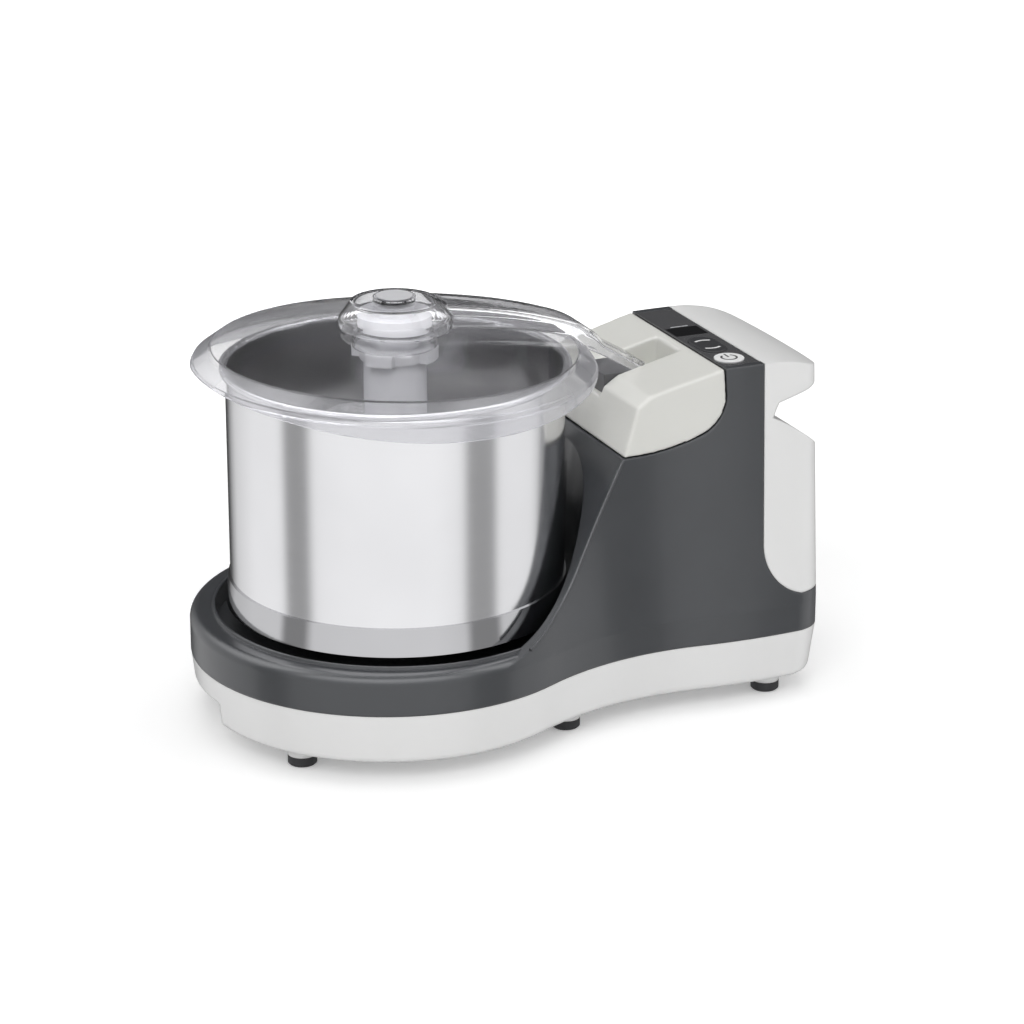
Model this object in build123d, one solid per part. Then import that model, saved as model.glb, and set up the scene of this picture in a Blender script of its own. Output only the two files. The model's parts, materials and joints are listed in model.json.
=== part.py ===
"""Tabletop wet grinder: a steel drum on a round base, with a motor tower beside it.

The drum axis is the working origin: +X runs from the drum to the tower, -Y is the
front side, +Z is up. Every piece is moved at export so that the finished part stands
with the middle of its footprint on the origin.
"""
import os
from math import atan, cos, degrees, pi, radians, sin, sqrt

from build123d import *

# Drum
drum_radius = 107.5
drum_sheet = 1.2
drum_height = 153.0
drum_lift = 18.0
drum_rim_bead = 2.4
band_height = 16.6
band_skirt = 1.3
band_top_stand = 1.2
band_bottom_stand = 2.9
stone_bed_thickness = 12.8
stone_bed_gap = 0.1
hub_radius = 14.0
hub_wall = 1.4
hub_rise = 72.0
hub_flange_width = 8.0
hub_flange_thickness = 2.0
hub_pin_radius = 5.0
hub_pin_height = 6.0
bed_hole_gap = 2.0

# Base and tower outline, in plan
pan_gap = 10.0
recess_flare = 2.0
ring_width = 12.5
ring_offset = 4.5
ring_round = 6.0
neck_reach = 30.5
neck_draw = 39.8
flare_length = 68.0
flare_width = 4.2
tail_length = 56.4
rear_curve_radius = 300.0
corner_radius = 24.0
corner_top_radius = 17.0
side_lean = 24.0
wall = 2.6
seam = 0.3

# Heights of the base
foot_height = 6.5
skirt_lift = 5.5
skirt_height = 34.0
skirt_draft = 4.0
skirt_round = 6.5
skirt_lip = 1.5
pan_rise = 14.0
shoulder_rise = 19.0
ring_round_height = 7.0
lip_rise = 2.0
lip_width = 2.0
tower_rise = 159.0
recess_draft_height = 85.0

# Side view of the tower: the sweep up from the ring, the cradle nose, the rear
sweep_start_x = -5.0
sweep_radius = 108.0
sweep_angle = 57.0
nose_gap = 6.5
nose_drop = 47.5
brow_step = 11.0
brow_drop = 19.0
shelf_edge_step = 10.0
shelf_edge_drop = 12.5
cradle_length = 51.5
strip_width = 26.5
rear_top_drop = 10.5
rear_top_sag = 3.2

# Cradle seam on the sides
cradle_seam_drop = 49.2
cradle_seam_rise = 2.6
cradle_corner_back = 16.5
cradle_corner_drop = 40.0
cradle_back_drop = 18.0
cradle_corner_sag = 3.6

# Rear cover seam, hand grip and vents
cover_seam_gap = 1.5
cover_seam_slope = 7.0
cover_bottom_rise = 7.0
cover_corner_height = 34.0
cover_corner_length = 28.4
cover_corner_sag = 7.5
grip_top_drop = 6.5
grip_depth = 38.9
grip_top_slope = 9.5
grip_root_step = 5.0
grip_root_drop = 9.0
grip_fall = 32.0
grip_bulge = 2.5
grip_overrun = 12.0
vent_count = 13
vent_width = 2.0
vent_pitch = 9.0
vent_start_share = 0.22
vent_end_share = 0.80

# Hand recess in the left end of the skirt
recess_height = 18.0
recess_width = 80.0
recess_shift = 18.0
recess_depth = 26.0

# Lock knob and arm beam
knob_radius = 13.6
knob_height = 2.6
knob_stem_radius = 6.0
knob_bore_gap = 0.2
knob_cap_inset = 2.1
knob_cap_height = 0.6
knob_gap = 0.1
knob_grip_count = 24
knob_grip_radius = 0.6
arm_sheet = 2.2
arm_half_width = 15.0
arm_depth = 9.5

# Channel in the cradle and the rest for the lid arm
channel_gap = 2.0
channel_end_wall = 7.5
channel_depth = 25.0
rest_brow_gap = 1.0
rest_length = 27.0
rest_height = 13.0
rest_gap = 0.4
rest_arm_gap = 0.3
shelf_drop = 9.0
shelf_thickness = 2.6
cradle_post_radius = 4.5
cradle_screw_start = 3.0
cradle_screw_pitch = 30.0
cradle_hole_depth = 9.0

# Control strip
panel_end_gap = 5.9
panel_thickness = 1.6
panel_ledge = 1.2
panel_seat_gap = 0.2
window_length = 18.0
window_width = 23.0
window_y = 14.0
window_gap = 0.15
window_proud = 0.1
indicator_length = 12.5
indicator_width = 1.2
indicator_gap = 1.6
controls_inset = 12.0
power_radius = 9.8
power_y = -50.5
mode_length = 34.0
mode_width = 18.0
mode_y = -19.5
button_gap = 0.25
button_proud = 0.7
button_flange = 0.7
button_flange_thickness = 1.4
button_travel = 1.0
button_free_gap = 0.3
dome_radius = 3.5
board_thickness = 1.6
board_drop = 10.8
board_end_gap = 8.5
board_side_gap = 3.25
board_post_radius = 2.6
board_post_inset = 5.0

# Bottom plate, feet and chassis
plate_thickness = 2.6
plate_gap = 0.4
foot_radius = 9.3
foot_bevel = 1.0
screw_radius = 1.8
cross_screw_radius = 2.0
foot_screw_head = 4.0
foot_screw_head_height = 2.4
front_foot_inset = 43.5
front_foot_side_inset = 65.0
middle_foot_back = 65.5
middle_foot_inset = 12.8
rear_foot_inset = 43.1
rear_foot_side_inset = 22.9
post_radius = 5.2
chassis_thickness = 2.0
chassis_inset = 3.4
chassis_screw_head = 4.4
chassis_screw_head_height = 2.6
boss_radius = 5.0
boss_inset = 38.0
floor_slot_count = 6
floor_slot_length = 34.0
floor_slot_width = 4.0
floor_slot_pitch = 10.0
floor_slot_shift = 2.0

# Drum drive
shaft_radius = 6.0
shaft_end = 3.0
bearing_outer_radius = 14.0
bearing_width = 8.0
bearing_race = 2.4
bearing_ball_count = 8
bearing_end_gap = 0.5
bearing_tube_wall = 5.0
bearing_tube_drop = 4.8
bearing_flange_width = 17.0
bearing_flange_thickness = 4.0
bearing_screw_radius = 2.5
bearing_screw_inset = 8.0
bearing_shoulder = 2.0
seal_width = 3.0
coupler_radius = 34.0
coupler_gap = 1.5
coupler_thickness = 4.0
coupler_pin_radius = 4.0
coupler_pin_inset = 11.0
coupler_pin_count = 3
coupler_pin_height = 3.4
coupler_pin_gap = 0.2
drum_pulley_radius = 70.0
drum_pulley_rim = 5.0
drum_pulley_web = 4.0
drum_pulley_hub_wall = 8.0
motor_pulley_radius = 14.0
pulley_lift = 6.4
pulley_width = 17.0
pulley_lip = 1.5
pulley_lip_thickness = 1.5
pulley_hole_count = 6
pulley_hole_radius = 15.0
belt_thickness = 3.0
belt_gap = 0.05
fit_gap = 0.05

# Motor
motor_gap = 35.5
motor_lift = 24.7
stator_height = 44.0
stator_half = 43.0
stator_corner = 12.0
air_gap = 0.5
winding_gap = 1.0
winding_inset = 5.0
winding_height = 13.0
rotor_radius = 25.5
rotor_ring_height = 5.0
rotor_ring_inset = 3.5
motor_shaft_radius = 5.0
motor_shaft_end = 2.0
motor_shaft_tip = 15.0
bracket_height = 20.0
bracket_wall = 3.0
bracket_bolt_radius = 2.5
bracket_bolt_circle_share = 0.84
motor_bearing_wall = 6.0
motor_bearing_width = 7.0
fan_inset = 3.0
fan_gap = 7.0
fan_disc = 2.0
fan_blade_height = 10.0
fan_blade_thickness = 1.6
fan_blade_count = 9
fan_hub_wall = 4.0
motor_leg_wall = 1.5

# Electrics beside the motor
side_gap = 23.0
capacitor_radius = 14.0
capacitor_height = 52.0
clip_thickness = 1.6
clip_height = 12.0
clip_up_share = 0.35
module_box_length = 46.0
module_box_width = 18.0
module_box_height = 40.0
gland_rise = 17.0
gland_radius = 6.0
gland_bore_radius = 3.6
gland_flange_width = 2.5
gland_flange_thickness = 2.0

# Column, rollers and scraper
column_radius = 20.0
column_play = 0.6
column_start_gap = 1.5
column_rise = 5.0
pin_gap = 0.3
wing_reach = 7.5
wing_width = 18.0
wing_height = 8.0
wing_root_width = 2.5
neck_waist = 5.0
neck_height = 5.5
collar_low_radius = 21.0
collar_low_height = 6.0
collar_radius = 23.0
collar_height = 9.9
stub_radius = 13.0
stub_height = 4.6
roller_radius = 38.9
roller_start = 31.0
roller_wall_gap = 11.3
roller_gap = 0.2
roller_bevel = 3.0
axle_radius = 5.0
bush_wall = 3.0
bush_length = 14.0
axle_root = 3.9
axle_boss_wall = 4.5
axle_boss_gap = 2.0
washer_width = 5.0
washer_thickness = 1.2
washer_gap = 0.4
nut_wall = 3.0
nut_thickness = 4.6
axle_end_gap = 0.4
scraper_width = 14.0
scraper_rise = 58.0
scraper_height = 10.0
scraper_holder_height = 34.0
scraper_holder_thickness = 5.0
scraper_wall_gap = 0.6
blade_thickness = 2.0
blade_reach = 6.0
blade_bottom_gap = 0.8

# Lid
lid_sheet = 2.0
lid_crease_stand = 8.5
lid_brim = 12.8
lid_rise = 12.6
lid_crown_rise = 13.9
lid_shoulder_drop = 10.2
lid_shoulder_bevel = 1.4
lid_edge_drop = 23.4
lid_edge_side_rise = 12.6
lid_side_drop = 3.76
lid_hole_gap = 2.2

# Lid arm hub
hub_cap_height = 4.0
hub_cone_height = 11.0
hub_cup_gap = 4.7
hub_foot_flare = 7.8
arm_tip_reach = 3.0
arm_tip_rise = 4.0
arm_bend_gap = 9.7
arm_bend_rise = 17.5
arm_along_shares = (0.14, 0.36, 0.58, 0.765, 0.925, 1.0)
arm_rise_shares = (0.975, 0.852, 0.691, 0.506, 0.259, 0.0)

overrun = 5.0
skin = 0.01

# Plan places worked out from the sizes above
pan_radius = drum_radius + pan_gap
recess_radius = pan_radius + recess_flare
ring_radius = pan_radius + ring_width
ring_flat_radius = ring_radius - ring_round
neck_x = recess_radius + neck_reach
neck_half_width = ring_radius - neck_draw
tower_widest_x = neck_x + flare_length
tower_half_width = neck_half_width + flare_width
rear_reach = tower_widest_x + tail_length
ring_left = -ring_radius - ring_offset
centre_shift = -(ring_left + rear_reach) / 2
neck_radius_plan = (((neck_x + ring_offset) ** 2 + neck_half_width ** 2 - ring_radius ** 2)
                    / (2 * (ring_radius - neck_half_width)))
flare = 2 * atan((tower_half_width - neck_half_width) / (tower_widest_x - neck_x))
side_radius = (tower_widest_x - neck_x) / sin(flare) - neck_radius_plan
neck_centre = Vector(neck_x, -neck_half_width - neck_radius_plan)
side_centre = neck_centre + Vector(sin(flare), cos(flare)) * (neck_radius_plan + side_radius)
motor_x = recess_radius + motor_gap + stator_half
nose_x = recess_radius + nose_gap
brow_x = nose_x + brow_step
shelf_edge_x = brow_x + shelf_edge_step
strip_front_x = shelf_edge_x + cradle_length
strip_rear_x = strip_front_x + strip_width
strip_middle_x = (strip_front_x + strip_rear_x) / 2
controls_x = strip_front_x + controls_inset
panel_half_length = tower_half_width - side_lean - panel_end_gap
board_half_length = panel_half_length - board_end_gap
board_width = strip_width - board_side_gap * 2
cradle_corner_x = strip_front_x - cradle_corner_back
cover_seam_top_x = strip_rear_x + cover_seam_gap
cover_seam_low_x = cover_seam_top_x - cover_seam_slope
cover_corner_x = rear_reach - cover_corner_length
grip_inner_x = rear_reach - grip_depth
grip_root_x = grip_inner_x - grip_root_step
channel_half_width = arm_half_width + channel_gap
channel_end_x = strip_front_x - channel_end_wall
rest_front_x = brow_x + rest_brow_gap
rest_rear_x = rest_front_x + rest_length
cradle_screw_front_x = shelf_edge_x + cradle_screw_start
cradle_screw_rear_x = cradle_screw_front_x + cradle_screw_pitch
cradle_screw_y = channel_half_width + wall + cradle_post_radius * 2
recess_front = recess_shift - recess_width / 2
recess_rear = recess_shift + recess_width / 2
front_foot_x = ring_left + front_foot_inset
front_foot_y = ring_radius - front_foot_side_inset
middle_foot_x = neck_x - middle_foot_back
middle_foot_y = neck_half_width - middle_foot_inset
rear_foot_x = rear_reach - rear_foot_inset
rear_foot_y = tower_half_width - rear_foot_side_inset
boss_reach = ring_radius - boss_inset
floor_slot_x = motor_x + floor_slot_shift
capacitor_y = stator_half + side_gap
module_box_y = -capacitor_y

# Heights worked out from the sizes above
skirt_bottom = foot_height + skirt_lift
skirt_top = skirt_bottom + skirt_height
pan_floor = skirt_top + pan_rise
ring_shoulder = skirt_top + shoulder_rise
ring_top = ring_shoulder + ring_round_height
lip_height = ring_top + lip_rise
recess_full_height = ring_shoulder + recess_draft_height
tower_top = ring_shoulder + tower_rise
sweep_start_height = ring_shoulder
nose_height = tower_top - nose_drop
brow_height = tower_top - brow_drop
shelf_edge_height = tower_top - shelf_edge_drop
rear_top_height = tower_top - rear_top_drop
cradle_seam_height = tower_top - cradle_seam_drop
cradle_corner_height = tower_top - cradle_corner_drop
cradle_back_height = tower_top - cradle_back_drop
cover_bottom_height = ring_shoulder + cover_bottom_rise
cover_seam_low_height = cover_bottom_height + cover_corner_height
grip_top_height = rear_top_height - grip_top_drop
grip_inner_height = grip_top_height - grip_top_slope
grip_root_height = grip_inner_height - grip_root_drop
grip_bottom_height = grip_root_height - grip_fall
recess_top = skirt_bottom + recess_height
channel_floor = tower_top - channel_depth
rest_top = channel_floor + rest_height
shelf_height = channel_floor - shelf_drop
panel_bottom = tower_top - panel_thickness
board_height = panel_bottom - board_drop
gland_height = skirt_bottom + gland_rise
plate_bottom = skirt_bottom
plate_top = plate_bottom + plate_thickness
chassis_bottom = skirt_top - chassis_thickness + wall / 2
chassis_top = chassis_bottom + chassis_thickness
drum_bottom = pan_floor + drum_lift
drum_rim_height = drum_bottom + drum_height
drum_inner_radius = drum_radius - drum_sheet
band_bottom = drum_bottom - band_skirt
band_top = drum_bottom + band_height
band_top_radius = drum_radius + band_top_stand
band_bottom_radius = drum_radius + band_bottom_stand
bed_bottom = drum_bottom + drum_sheet
bed_top = bed_bottom + stone_bed_thickness
hub_height = drum_bottom + hub_rise
hub_bore_radius = hub_radius - hub_wall
hub_flange_radius = hub_radius + hub_flange_width
bed_hole_radius = hub_flange_radius + bed_hole_gap
pulley_bottom = plate_top + pulley_lift
shaft_bottom = pulley_bottom - shaft_end
bearing_tube_radius = bearing_outer_radius + bearing_tube_wall
bearing_tube_bottom = chassis_bottom - bearing_tube_drop
lower_bearing_bottom = bearing_tube_bottom + bearing_end_gap
upper_bearing_bottom = pan_floor
bearing_tube_top = upper_bearing_bottom + bearing_width + bearing_end_gap
bearing_flange_radius = bearing_tube_radius + bearing_flange_width
bearing_screw_circle = bearing_flange_radius - bearing_screw_inset
pan_hole_radius = bearing_tube_radius + seal_width
coupler_bottom = bearing_tube_top + coupler_gap
coupler_pin_circle = coupler_radius - coupler_pin_inset
drum_pulley_hub = shaft_radius + drum_pulley_hub_wall
stator_bottom = chassis_top + motor_lift
stator_top = stator_bottom + stator_height
stator_bore = rotor_radius + air_gap
winding_bore = stator_bore + winding_gap
winding_radius = stator_half - winding_inset
rotor_ring_radius = rotor_radius - rotor_ring_inset
motor_bearing_radius = motor_shaft_radius + motor_bearing_wall
fan_bottom = stator_top + bracket_height + fan_gap
fan_radius = stator_half - fan_inset
fan_hub_radius = motor_shaft_radius + fan_hub_wall
motor_shaft_bottom = pulley_bottom - motor_shaft_end
motor_shaft_top = fan_bottom + motor_shaft_tip
motor_leg_radius = bracket_bolt_radius + motor_leg_wall
gland_flange_radius = gland_radius + gland_flange_width
screw_hole = screw_radius + fit_gap
column_bore_radius = hub_radius + column_play
column_top = drum_rim_height + column_rise
wing_radius = column_radius + wing_reach
wing_root_radius = column_radius + wing_root_width
neck_radius = column_radius - neck_waist
wing_top = column_top + wing_height
neck_top = wing_top + neck_height
collar_low_top = neck_top + collar_low_height
collar_top = collar_low_top + collar_height
stub_top = collar_top + stub_height
roller_height = bed_top + roller_gap + roller_radius
roller_length = drum_inner_radius - roller_start - roller_wall_gap
roller_bore_radius = axle_radius + bush_wall
axle_seat = column_bore_radius + axle_root
axle_boss_radius = axle_radius + axle_boss_wall
axle_boss_end = roller_start - axle_boss_gap
washer_radius = axle_radius + washer_width
nut_radius = axle_radius + nut_wall
scraper_bottom = bed_top + scraper_rise
lid_crease_radius = drum_radius + lid_crease_stand
lid_edge_radius = lid_crease_radius + lid_brim
lid_crease_height = drum_rim_height + lid_rise
lid_shoulder_height = lid_crease_height - lid_shoulder_drop
lid_edge_middle = lid_crease_height - lid_edge_drop
lid_hole_radius = collar_radius + lid_hole_gap
hub_top = stub_top + hub_cap_height
hub_foot_height = hub_top - hub_cone_height
hub_top_radius = collar_radius + hub_cup_gap
hub_foot_radius = hub_top_radius + hub_foot_flare
arm_tip_x = rest_rear_x + arm_tip_reach
arm_tip_height = rest_top + arm_tip_rise
arm_bend_x = lid_edge_radius + arm_bend_gap
arm_bend_height = arm_tip_height + arm_bend_rise
knob_cap_radius = knob_radius - knob_cap_inset


def between(x_low, x_high, y_low, y_high, z_low, z_high):
    """A block between two corners."""
    block = Box(x_high - x_low, y_high - y_low, z_high - z_low)
    return Pos((x_low + x_high) / 2, (y_low + y_high) / 2, (z_low + z_high) / 2) * block


def upright(radius, z_low, z_high, x=0, y=0):
    """A cylinder that stands on z_low."""
    return Pos(x, y, (z_low + z_high) / 2) * Cylinder(radius, z_high - z_low)


def tube(outer, inner, z_low, z_high, x=0, y=0):
    """A standing tube."""
    return upright(outer, z_low, z_high, x, y) - upright(inner, z_low - overrun, z_high + overrun, x, y)


def turned(points):
    """A solid turned about the drum axis from a closed outline of (radius, height)."""
    return revolve(Plane.XZ * make_face(Polyline(*points, close=True)), Axis.Z)


def side_block(face, half_width):
    """A side-view face made into a block that reaches half_width to both sides."""
    return extrude(Plane.XZ * face, amount=half_width, both=True)


def ring_of(piece, count, start=0):
    """Copies of a piece around the drum axis."""
    return [Rot(0, 0, start + 360 * turn / count) * piece for turn in range(count)]


def joined(pieces):
    """One shape of several pieces that touch or overlap."""
    first, *others = pieces
    return first + others if others else first


def short_arc(centre, radius, start, end):
    """The arc of under half a turn between two points of a circle."""
    way = (start + end) / 2 - centre
    return ThreePointArc(start, centre + way.normalized() * radius, end)


def flip(point):
    """A plan point on the other side."""
    return Vector(point.X, -point.Y)


def footprint(inset, corner, lean=0):
    """The plan outline of base and tower, drawn in by inset; lean draws in all but the rear."""
    drawn = inset + lean
    rear = rear_reach - inset
    ring_centre = Vector(-ring_offset, 0)
    rear_centre = Vector(rear - rear_curve_radius, 0)
    to_side = side_radius - drawn - corner
    to_rear = rear_curve_radius - corner
    apart = side_centre - rear_centre
    along = (to_rear ** 2 - to_side ** 2 + apart.length ** 2) / (2 * apart.length)
    off = sqrt(to_rear ** 2 - along ** 2)
    way = apart.normalized()
    corner_centre = rear_centre + way * along + Vector(way.Y, -way.X) * off
    ring_end = ring_centre + (neck_centre - ring_centre).normalized() * (ring_radius - drawn)
    neck_end = neck_centre + Vector(sin(flare), cos(flare)) * (neck_radius_plan + drawn)
    side_end = side_centre + (corner_centre - side_centre).normalized() * (side_radius - drawn)
    rear_end = rear_centre + (corner_centre - rear_centre).normalized() * rear_curve_radius
    front = [
        short_arc(neck_centre, neck_radius_plan + drawn, ring_end, neck_end),
        short_arc(side_centre, side_radius - drawn, neck_end, side_end),
        short_arc(corner_centre, corner, side_end, rear_end),
    ]
    back = [
        short_arc(flip(corner_centre), corner, flip(rear_end), flip(side_end)),
        short_arc(flip(side_centre), side_radius - drawn, flip(side_end), flip(neck_end)),
        short_arc(flip(neck_centre), neck_radius_plan + drawn, flip(neck_end), flip(ring_end)),
    ]
    ring_edge = ThreePointArc(flip(ring_end), Vector(ring_left + drawn, 0), ring_end)
    rear_edge = ThreePointArc(rear_end, Vector(rear, 0), flip(rear_end))
    return make_face(ring_edge + front + [rear_edge] + back)


def tower_loft(inset):
    """The sides of the tower, leaning in from the height of the ring's shoulder to the top."""
    low = footprint(inset, corner_radius - inset)
    high = footprint(inset, corner_top_radius - inset, side_lean)
    return loft([Pos(0, 0, ring_shoulder - inset) * low, Pos(0, 0, tower_top) * high], ruled=True)


def base_band(inset):
    """The upright band of ring and tower under the ring's shoulder."""
    face = footprint(inset, corner_radius - inset)
    return Pos(0, 0, skirt_top - inset) * extrude(face, amount=ring_shoulder - skirt_top)


def side_view(inset):
    """The side view of the tower, drawn in by inset."""
    turn = radians(sweep_angle)
    sweep_centre = Vector(sweep_start_x, sweep_start_height + sweep_radius)
    sweep_low = sweep_centre + Vector(0, -sweep_radius)
    sweep_middle = sweep_centre + Vector(sin(turn / 2), -cos(turn / 2)) * sweep_radius
    sweep_high = sweep_centre + Vector(sin(turn), -cos(turn)) * sweep_radius
    below = Vector(sweep_start_x, skirt_top - wall - overrun)
    beyond = Vector(rear_reach + grip_overrun, skirt_top - wall - overrun)
    top_middle = Vector((strip_rear_x + rear_reach) / 2, (tower_top + rear_top_height) / 2 + rear_top_sag)
    outline = Line(below, sweep_low) + [
        ThreePointArc(sweep_low, sweep_middle, sweep_high),
        Polyline(
            sweep_high,
            (nose_x, nose_height),
            (brow_x, brow_height),
            (shelf_edge_x, shelf_edge_height),
            (strip_front_x, tower_top),
            (strip_rear_x, tower_top),
        ),
        ThreePointArc((strip_rear_x, tower_top), top_middle, (rear_reach, rear_top_height)),
        Polyline((rear_reach, rear_top_height), (beyond.X, rear_top_height), beyond, below),
    ]
    face = make_face(outline)
    if inset:
        face = offset(face, amount=-inset, kind=Kind.INTERSECTION)
    return face


def grip_face(depth):
    """Side view of the hand grip cut, grown by depth."""
    out_x = rear_reach + grip_overrun
    root = Vector(grip_root_x, grip_root_height)
    out_low = Vector(rear_reach, grip_bottom_height)
    way = (out_low - root).normalized()
    bulge = (root + out_low) / 2 + Vector(-way.Y, way.X) * grip_bulge
    outline = Polyline(
        out_low,
        (out_x, grip_bottom_height),
        (out_x, grip_top_height),
        (rear_reach, grip_top_height),
        (grip_inner_x, grip_inner_height),
        root,
    ) + ThreePointArc(root, bulge, out_low)
    face = make_face(outline)
    if depth:
        face = offset(face, amount=depth, kind=Kind.INTERSECTION)
    return face


def ring_cap(inset):
    """The rounded top of the base ring, drawn in by inset."""
    edge = ring_radius - inset
    top = ring_top - inset
    low = ring_shoulder - inset
    flat = ring_flat_radius - inset / 2
    shoulder = Vector(edge, low)
    crest = Vector(flat, top)
    bend = Vector(flat + (edge - flat) * cos(pi / 4), low + (top - low) * sin(pi / 4))
    outline = Polyline(crest, (0, top), (0, low), shoulder) + ThreePointArc(shoulder, bend, crest)
    return Pos(-ring_offset, 0, 0) * revolve(Plane.XZ * make_face(outline), Axis.Z)


def bowl(extra):
    """The room of the drum in the base, with its walls moved out by extra."""
    return turned((
        (0, pan_floor - extra),
        (pan_radius + extra, pan_floor - extra),
        (recess_radius + extra, recess_full_height),
        (recess_radius + extra, tower_top + overrun),
        (0, tower_top + overrun),
    ))


def tower_block(inset):
    """The tower over the base as one block, drawn in by inset."""
    return tower_loft(inset) & side_block(side_view(inset), ring_radius)


def casing(inset):
    """The whole upper casing as one block, drawn in by inset."""
    whole = base_band(inset) + ring_cap(inset) + tower_block(inset)
    if not inset:
        whole += upright(pan_radius + lip_width, ring_shoulder, lip_height)
    return whole - bowl(inset) - side_block(grip_face(inset), ring_radius)


def casing_shell():
    """The skin that housing, cradle and rear cover are cut from."""
    return casing(0) - casing(wall)


def cradle_region(grow):
    """Side view region of the cradle, grown by grow."""
    far = sweep_start_x + ring_radius / 2
    low = cradle_seam_height - grow
    corner = Vector(cradle_corner_x + grow, cradle_corner_height - grow)
    back = Vector(strip_front_x + grow, cradle_back_height)
    way = (back - corner).normalized()
    bend = (corner + back) / 2 + Vector(way.Y, -way.X) * cradle_corner_sag
    start = Vector(nose_x + wall * 3, low)
    run = (start + corner) / 2 + Vector(0, -cradle_seam_rise)
    outline = Line((far, low), start) + [
        ThreePointArc(start, run, corner),
        ThreePointArc(corner, bend, back),
        Polyline(back, (strip_front_x + grow, tower_top + overrun), (far, tower_top + overrun), (far, low)),
    ]
    return side_block(make_face(outline), ring_radius)


def cover_region(grow):
    """Side view region of the rear cover, grown by grow."""
    out_x = rear_reach + grip_overrun
    top = tower_top + overrun
    high = Vector(cover_seam_top_x - grow, top)
    low = Vector(cover_seam_low_x - grow, cover_seam_low_height)
    foot = Vector(cover_corner_x, cover_bottom_height - grow)
    way = (foot - low).normalized()
    bend = (low + foot) / 2 + Vector(way.Y, -way.X) * cover_corner_sag
    outline = Line(high, low) + [
        ThreePointArc(low, bend, foot),
        Polyline(foot, (out_x, cover_bottom_height - grow), (out_x, top), high),
    ]
    return side_block(make_face(outline), ring_radius)


def shelf():
    """The level shelf inside the tower that carries cradle and control board."""
    slab = between(
        nose_x, strip_rear_x, -tower_half_width, tower_half_width, shelf_height - shelf_thickness, shelf_height
    )
    rooted = (slab & tower_block(wall / 2)) - cradle_region(seam) - cover_region(seam)
    return rooted + (slab & tower_block(wall + seam)) - cover_region(seam)


def housing_bosses():
    """Four bosses under the pan for the screws through the chassis."""
    place = boss_reach / sqrt(2)
    boss = upright(boss_radius, chassis_top, pan_floor - wall / 2, place, place)
    hole = upright(screw_hole, chassis_top - overrun, pan_floor - wall, place, place)
    return ring_of(boss - hole, 4)


def panel_seat():
    """What the control strip takes out of the top of the housing."""
    upper = between(
        strip_front_x - wall, cover_seam_top_x, -panel_half_length, panel_half_length, panel_bottom, tower_top + overrun
    )
    lower = between(
        strip_front_x + panel_ledge, strip_rear_x - panel_ledge,
        -panel_half_length + panel_ledge, panel_half_length - panel_ledge,
        panel_bottom - wall, tower_top,
    )
    return upper + lower


def make_main_housing(shell):
    body = shell - cradle_region(seam) - cover_region(seam) - panel_seat()
    body = joined([body, shelf()] + housing_bosses())
    cutters = [upright(pan_hole_radius, pan_floor - wall - overrun, pan_floor + overrun)]
    for place in cover_screw_places():
        spot = Pos(0, 0, ring_radius / 2) * Cylinder(foot_screw_head + fit_gap, ring_radius)
        cutters += [place * Cylinder(cross_screw_radius + fit_gap, ring_radius), place * spot]
    cutters += [upright(cross_screw_radius + fit_gap, shelf_height - wall * 2, shelf_height + overrun, x, y)
                for x, y in cradle_screw_spots()]
    return body - cutters


def cover_screw_places():
    """Where the two cover screws go in at the back, on a spot face under the rear cover."""
    height = (cover_bottom_height + skirt_top) / 2
    y = tower_half_width / 2
    back = (y + foot_screw_head) ** 2 / 2 / rear_curve_radius
    return [Pos(rear_reach - back, side * y, height) * Rot(0, 90, 0) for side in (-1, 1)]


def make_rear_cover(shell):
    body = shell & cover_region(0)
    tabs = []
    for side, place in zip((-1, 1), cover_screw_places()):
        y = side * tower_half_width / 2
        tab = between(rear_reach - wall * 5, rear_reach - wall, y - boss_radius, y + boss_radius,
                      skirt_top + wall, cover_bottom_height + wall * 4)
        tabs.append((tab & casing(wall)) - place * Cylinder(cross_screw_radius + fit_gap, ring_radius))
    return joined([body] + tabs) - vent_slots()


def vent_slots():
    """Slots down the slope of the hand grip."""
    root = Vector(grip_root_x, grip_root_height)
    foot = Vector(rear_reach, grip_bottom_height)
    way = foot - root
    start = root + way * vent_start_share
    end = root + way * vent_end_share
    middle = (start + end) / 2
    slope = degrees(atan((start.Y - end.Y) / (end.X - start.X)))
    slots = []
    for number in range(vent_count):
        y = (number - (vent_count - 1) / 2) * vent_pitch
        slot = Box((end - start).length, vent_width, (grip_bulge + wall) * 4)
        slots.append(Pos(middle.X, y, middle.Y) * Rot(0, slope, 0) * slot)
    return slots


def cradle_screw_spots():
    """The cradle screws, beside the channel."""
    return [(x, side * cradle_screw_y) for x in (cradle_screw_front_x, cradle_screw_rear_x) for side in (-1, 1)]


def make_arm_cradle(shell):
    body = shell & cradle_region(0)
    inside = tower_block(wall / 2) & cradle_region(0)
    walls = inside & between(
        nose_x, channel_end_x + wall, -channel_half_width - wall, channel_half_width + wall,
        channel_floor - wall, tower_top + overrun,
    )
    posts = [upright(cradle_post_radius, shelf_height, tower_top, x, y) & tower_block(wall / 2)
             for x, y in cradle_screw_spots()]
    hollow = between(
        nose_x - overrun, channel_end_x, -channel_half_width, channel_half_width, channel_floor, tower_top + overrun
    )
    holes = [upright(cross_screw_radius + fit_gap, shelf_height - overrun, shelf_height + cradle_hole_depth, x, y)
             for x, y in cradle_screw_spots()]
    return joined([body, walls] + posts) - hollow - holes


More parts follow.
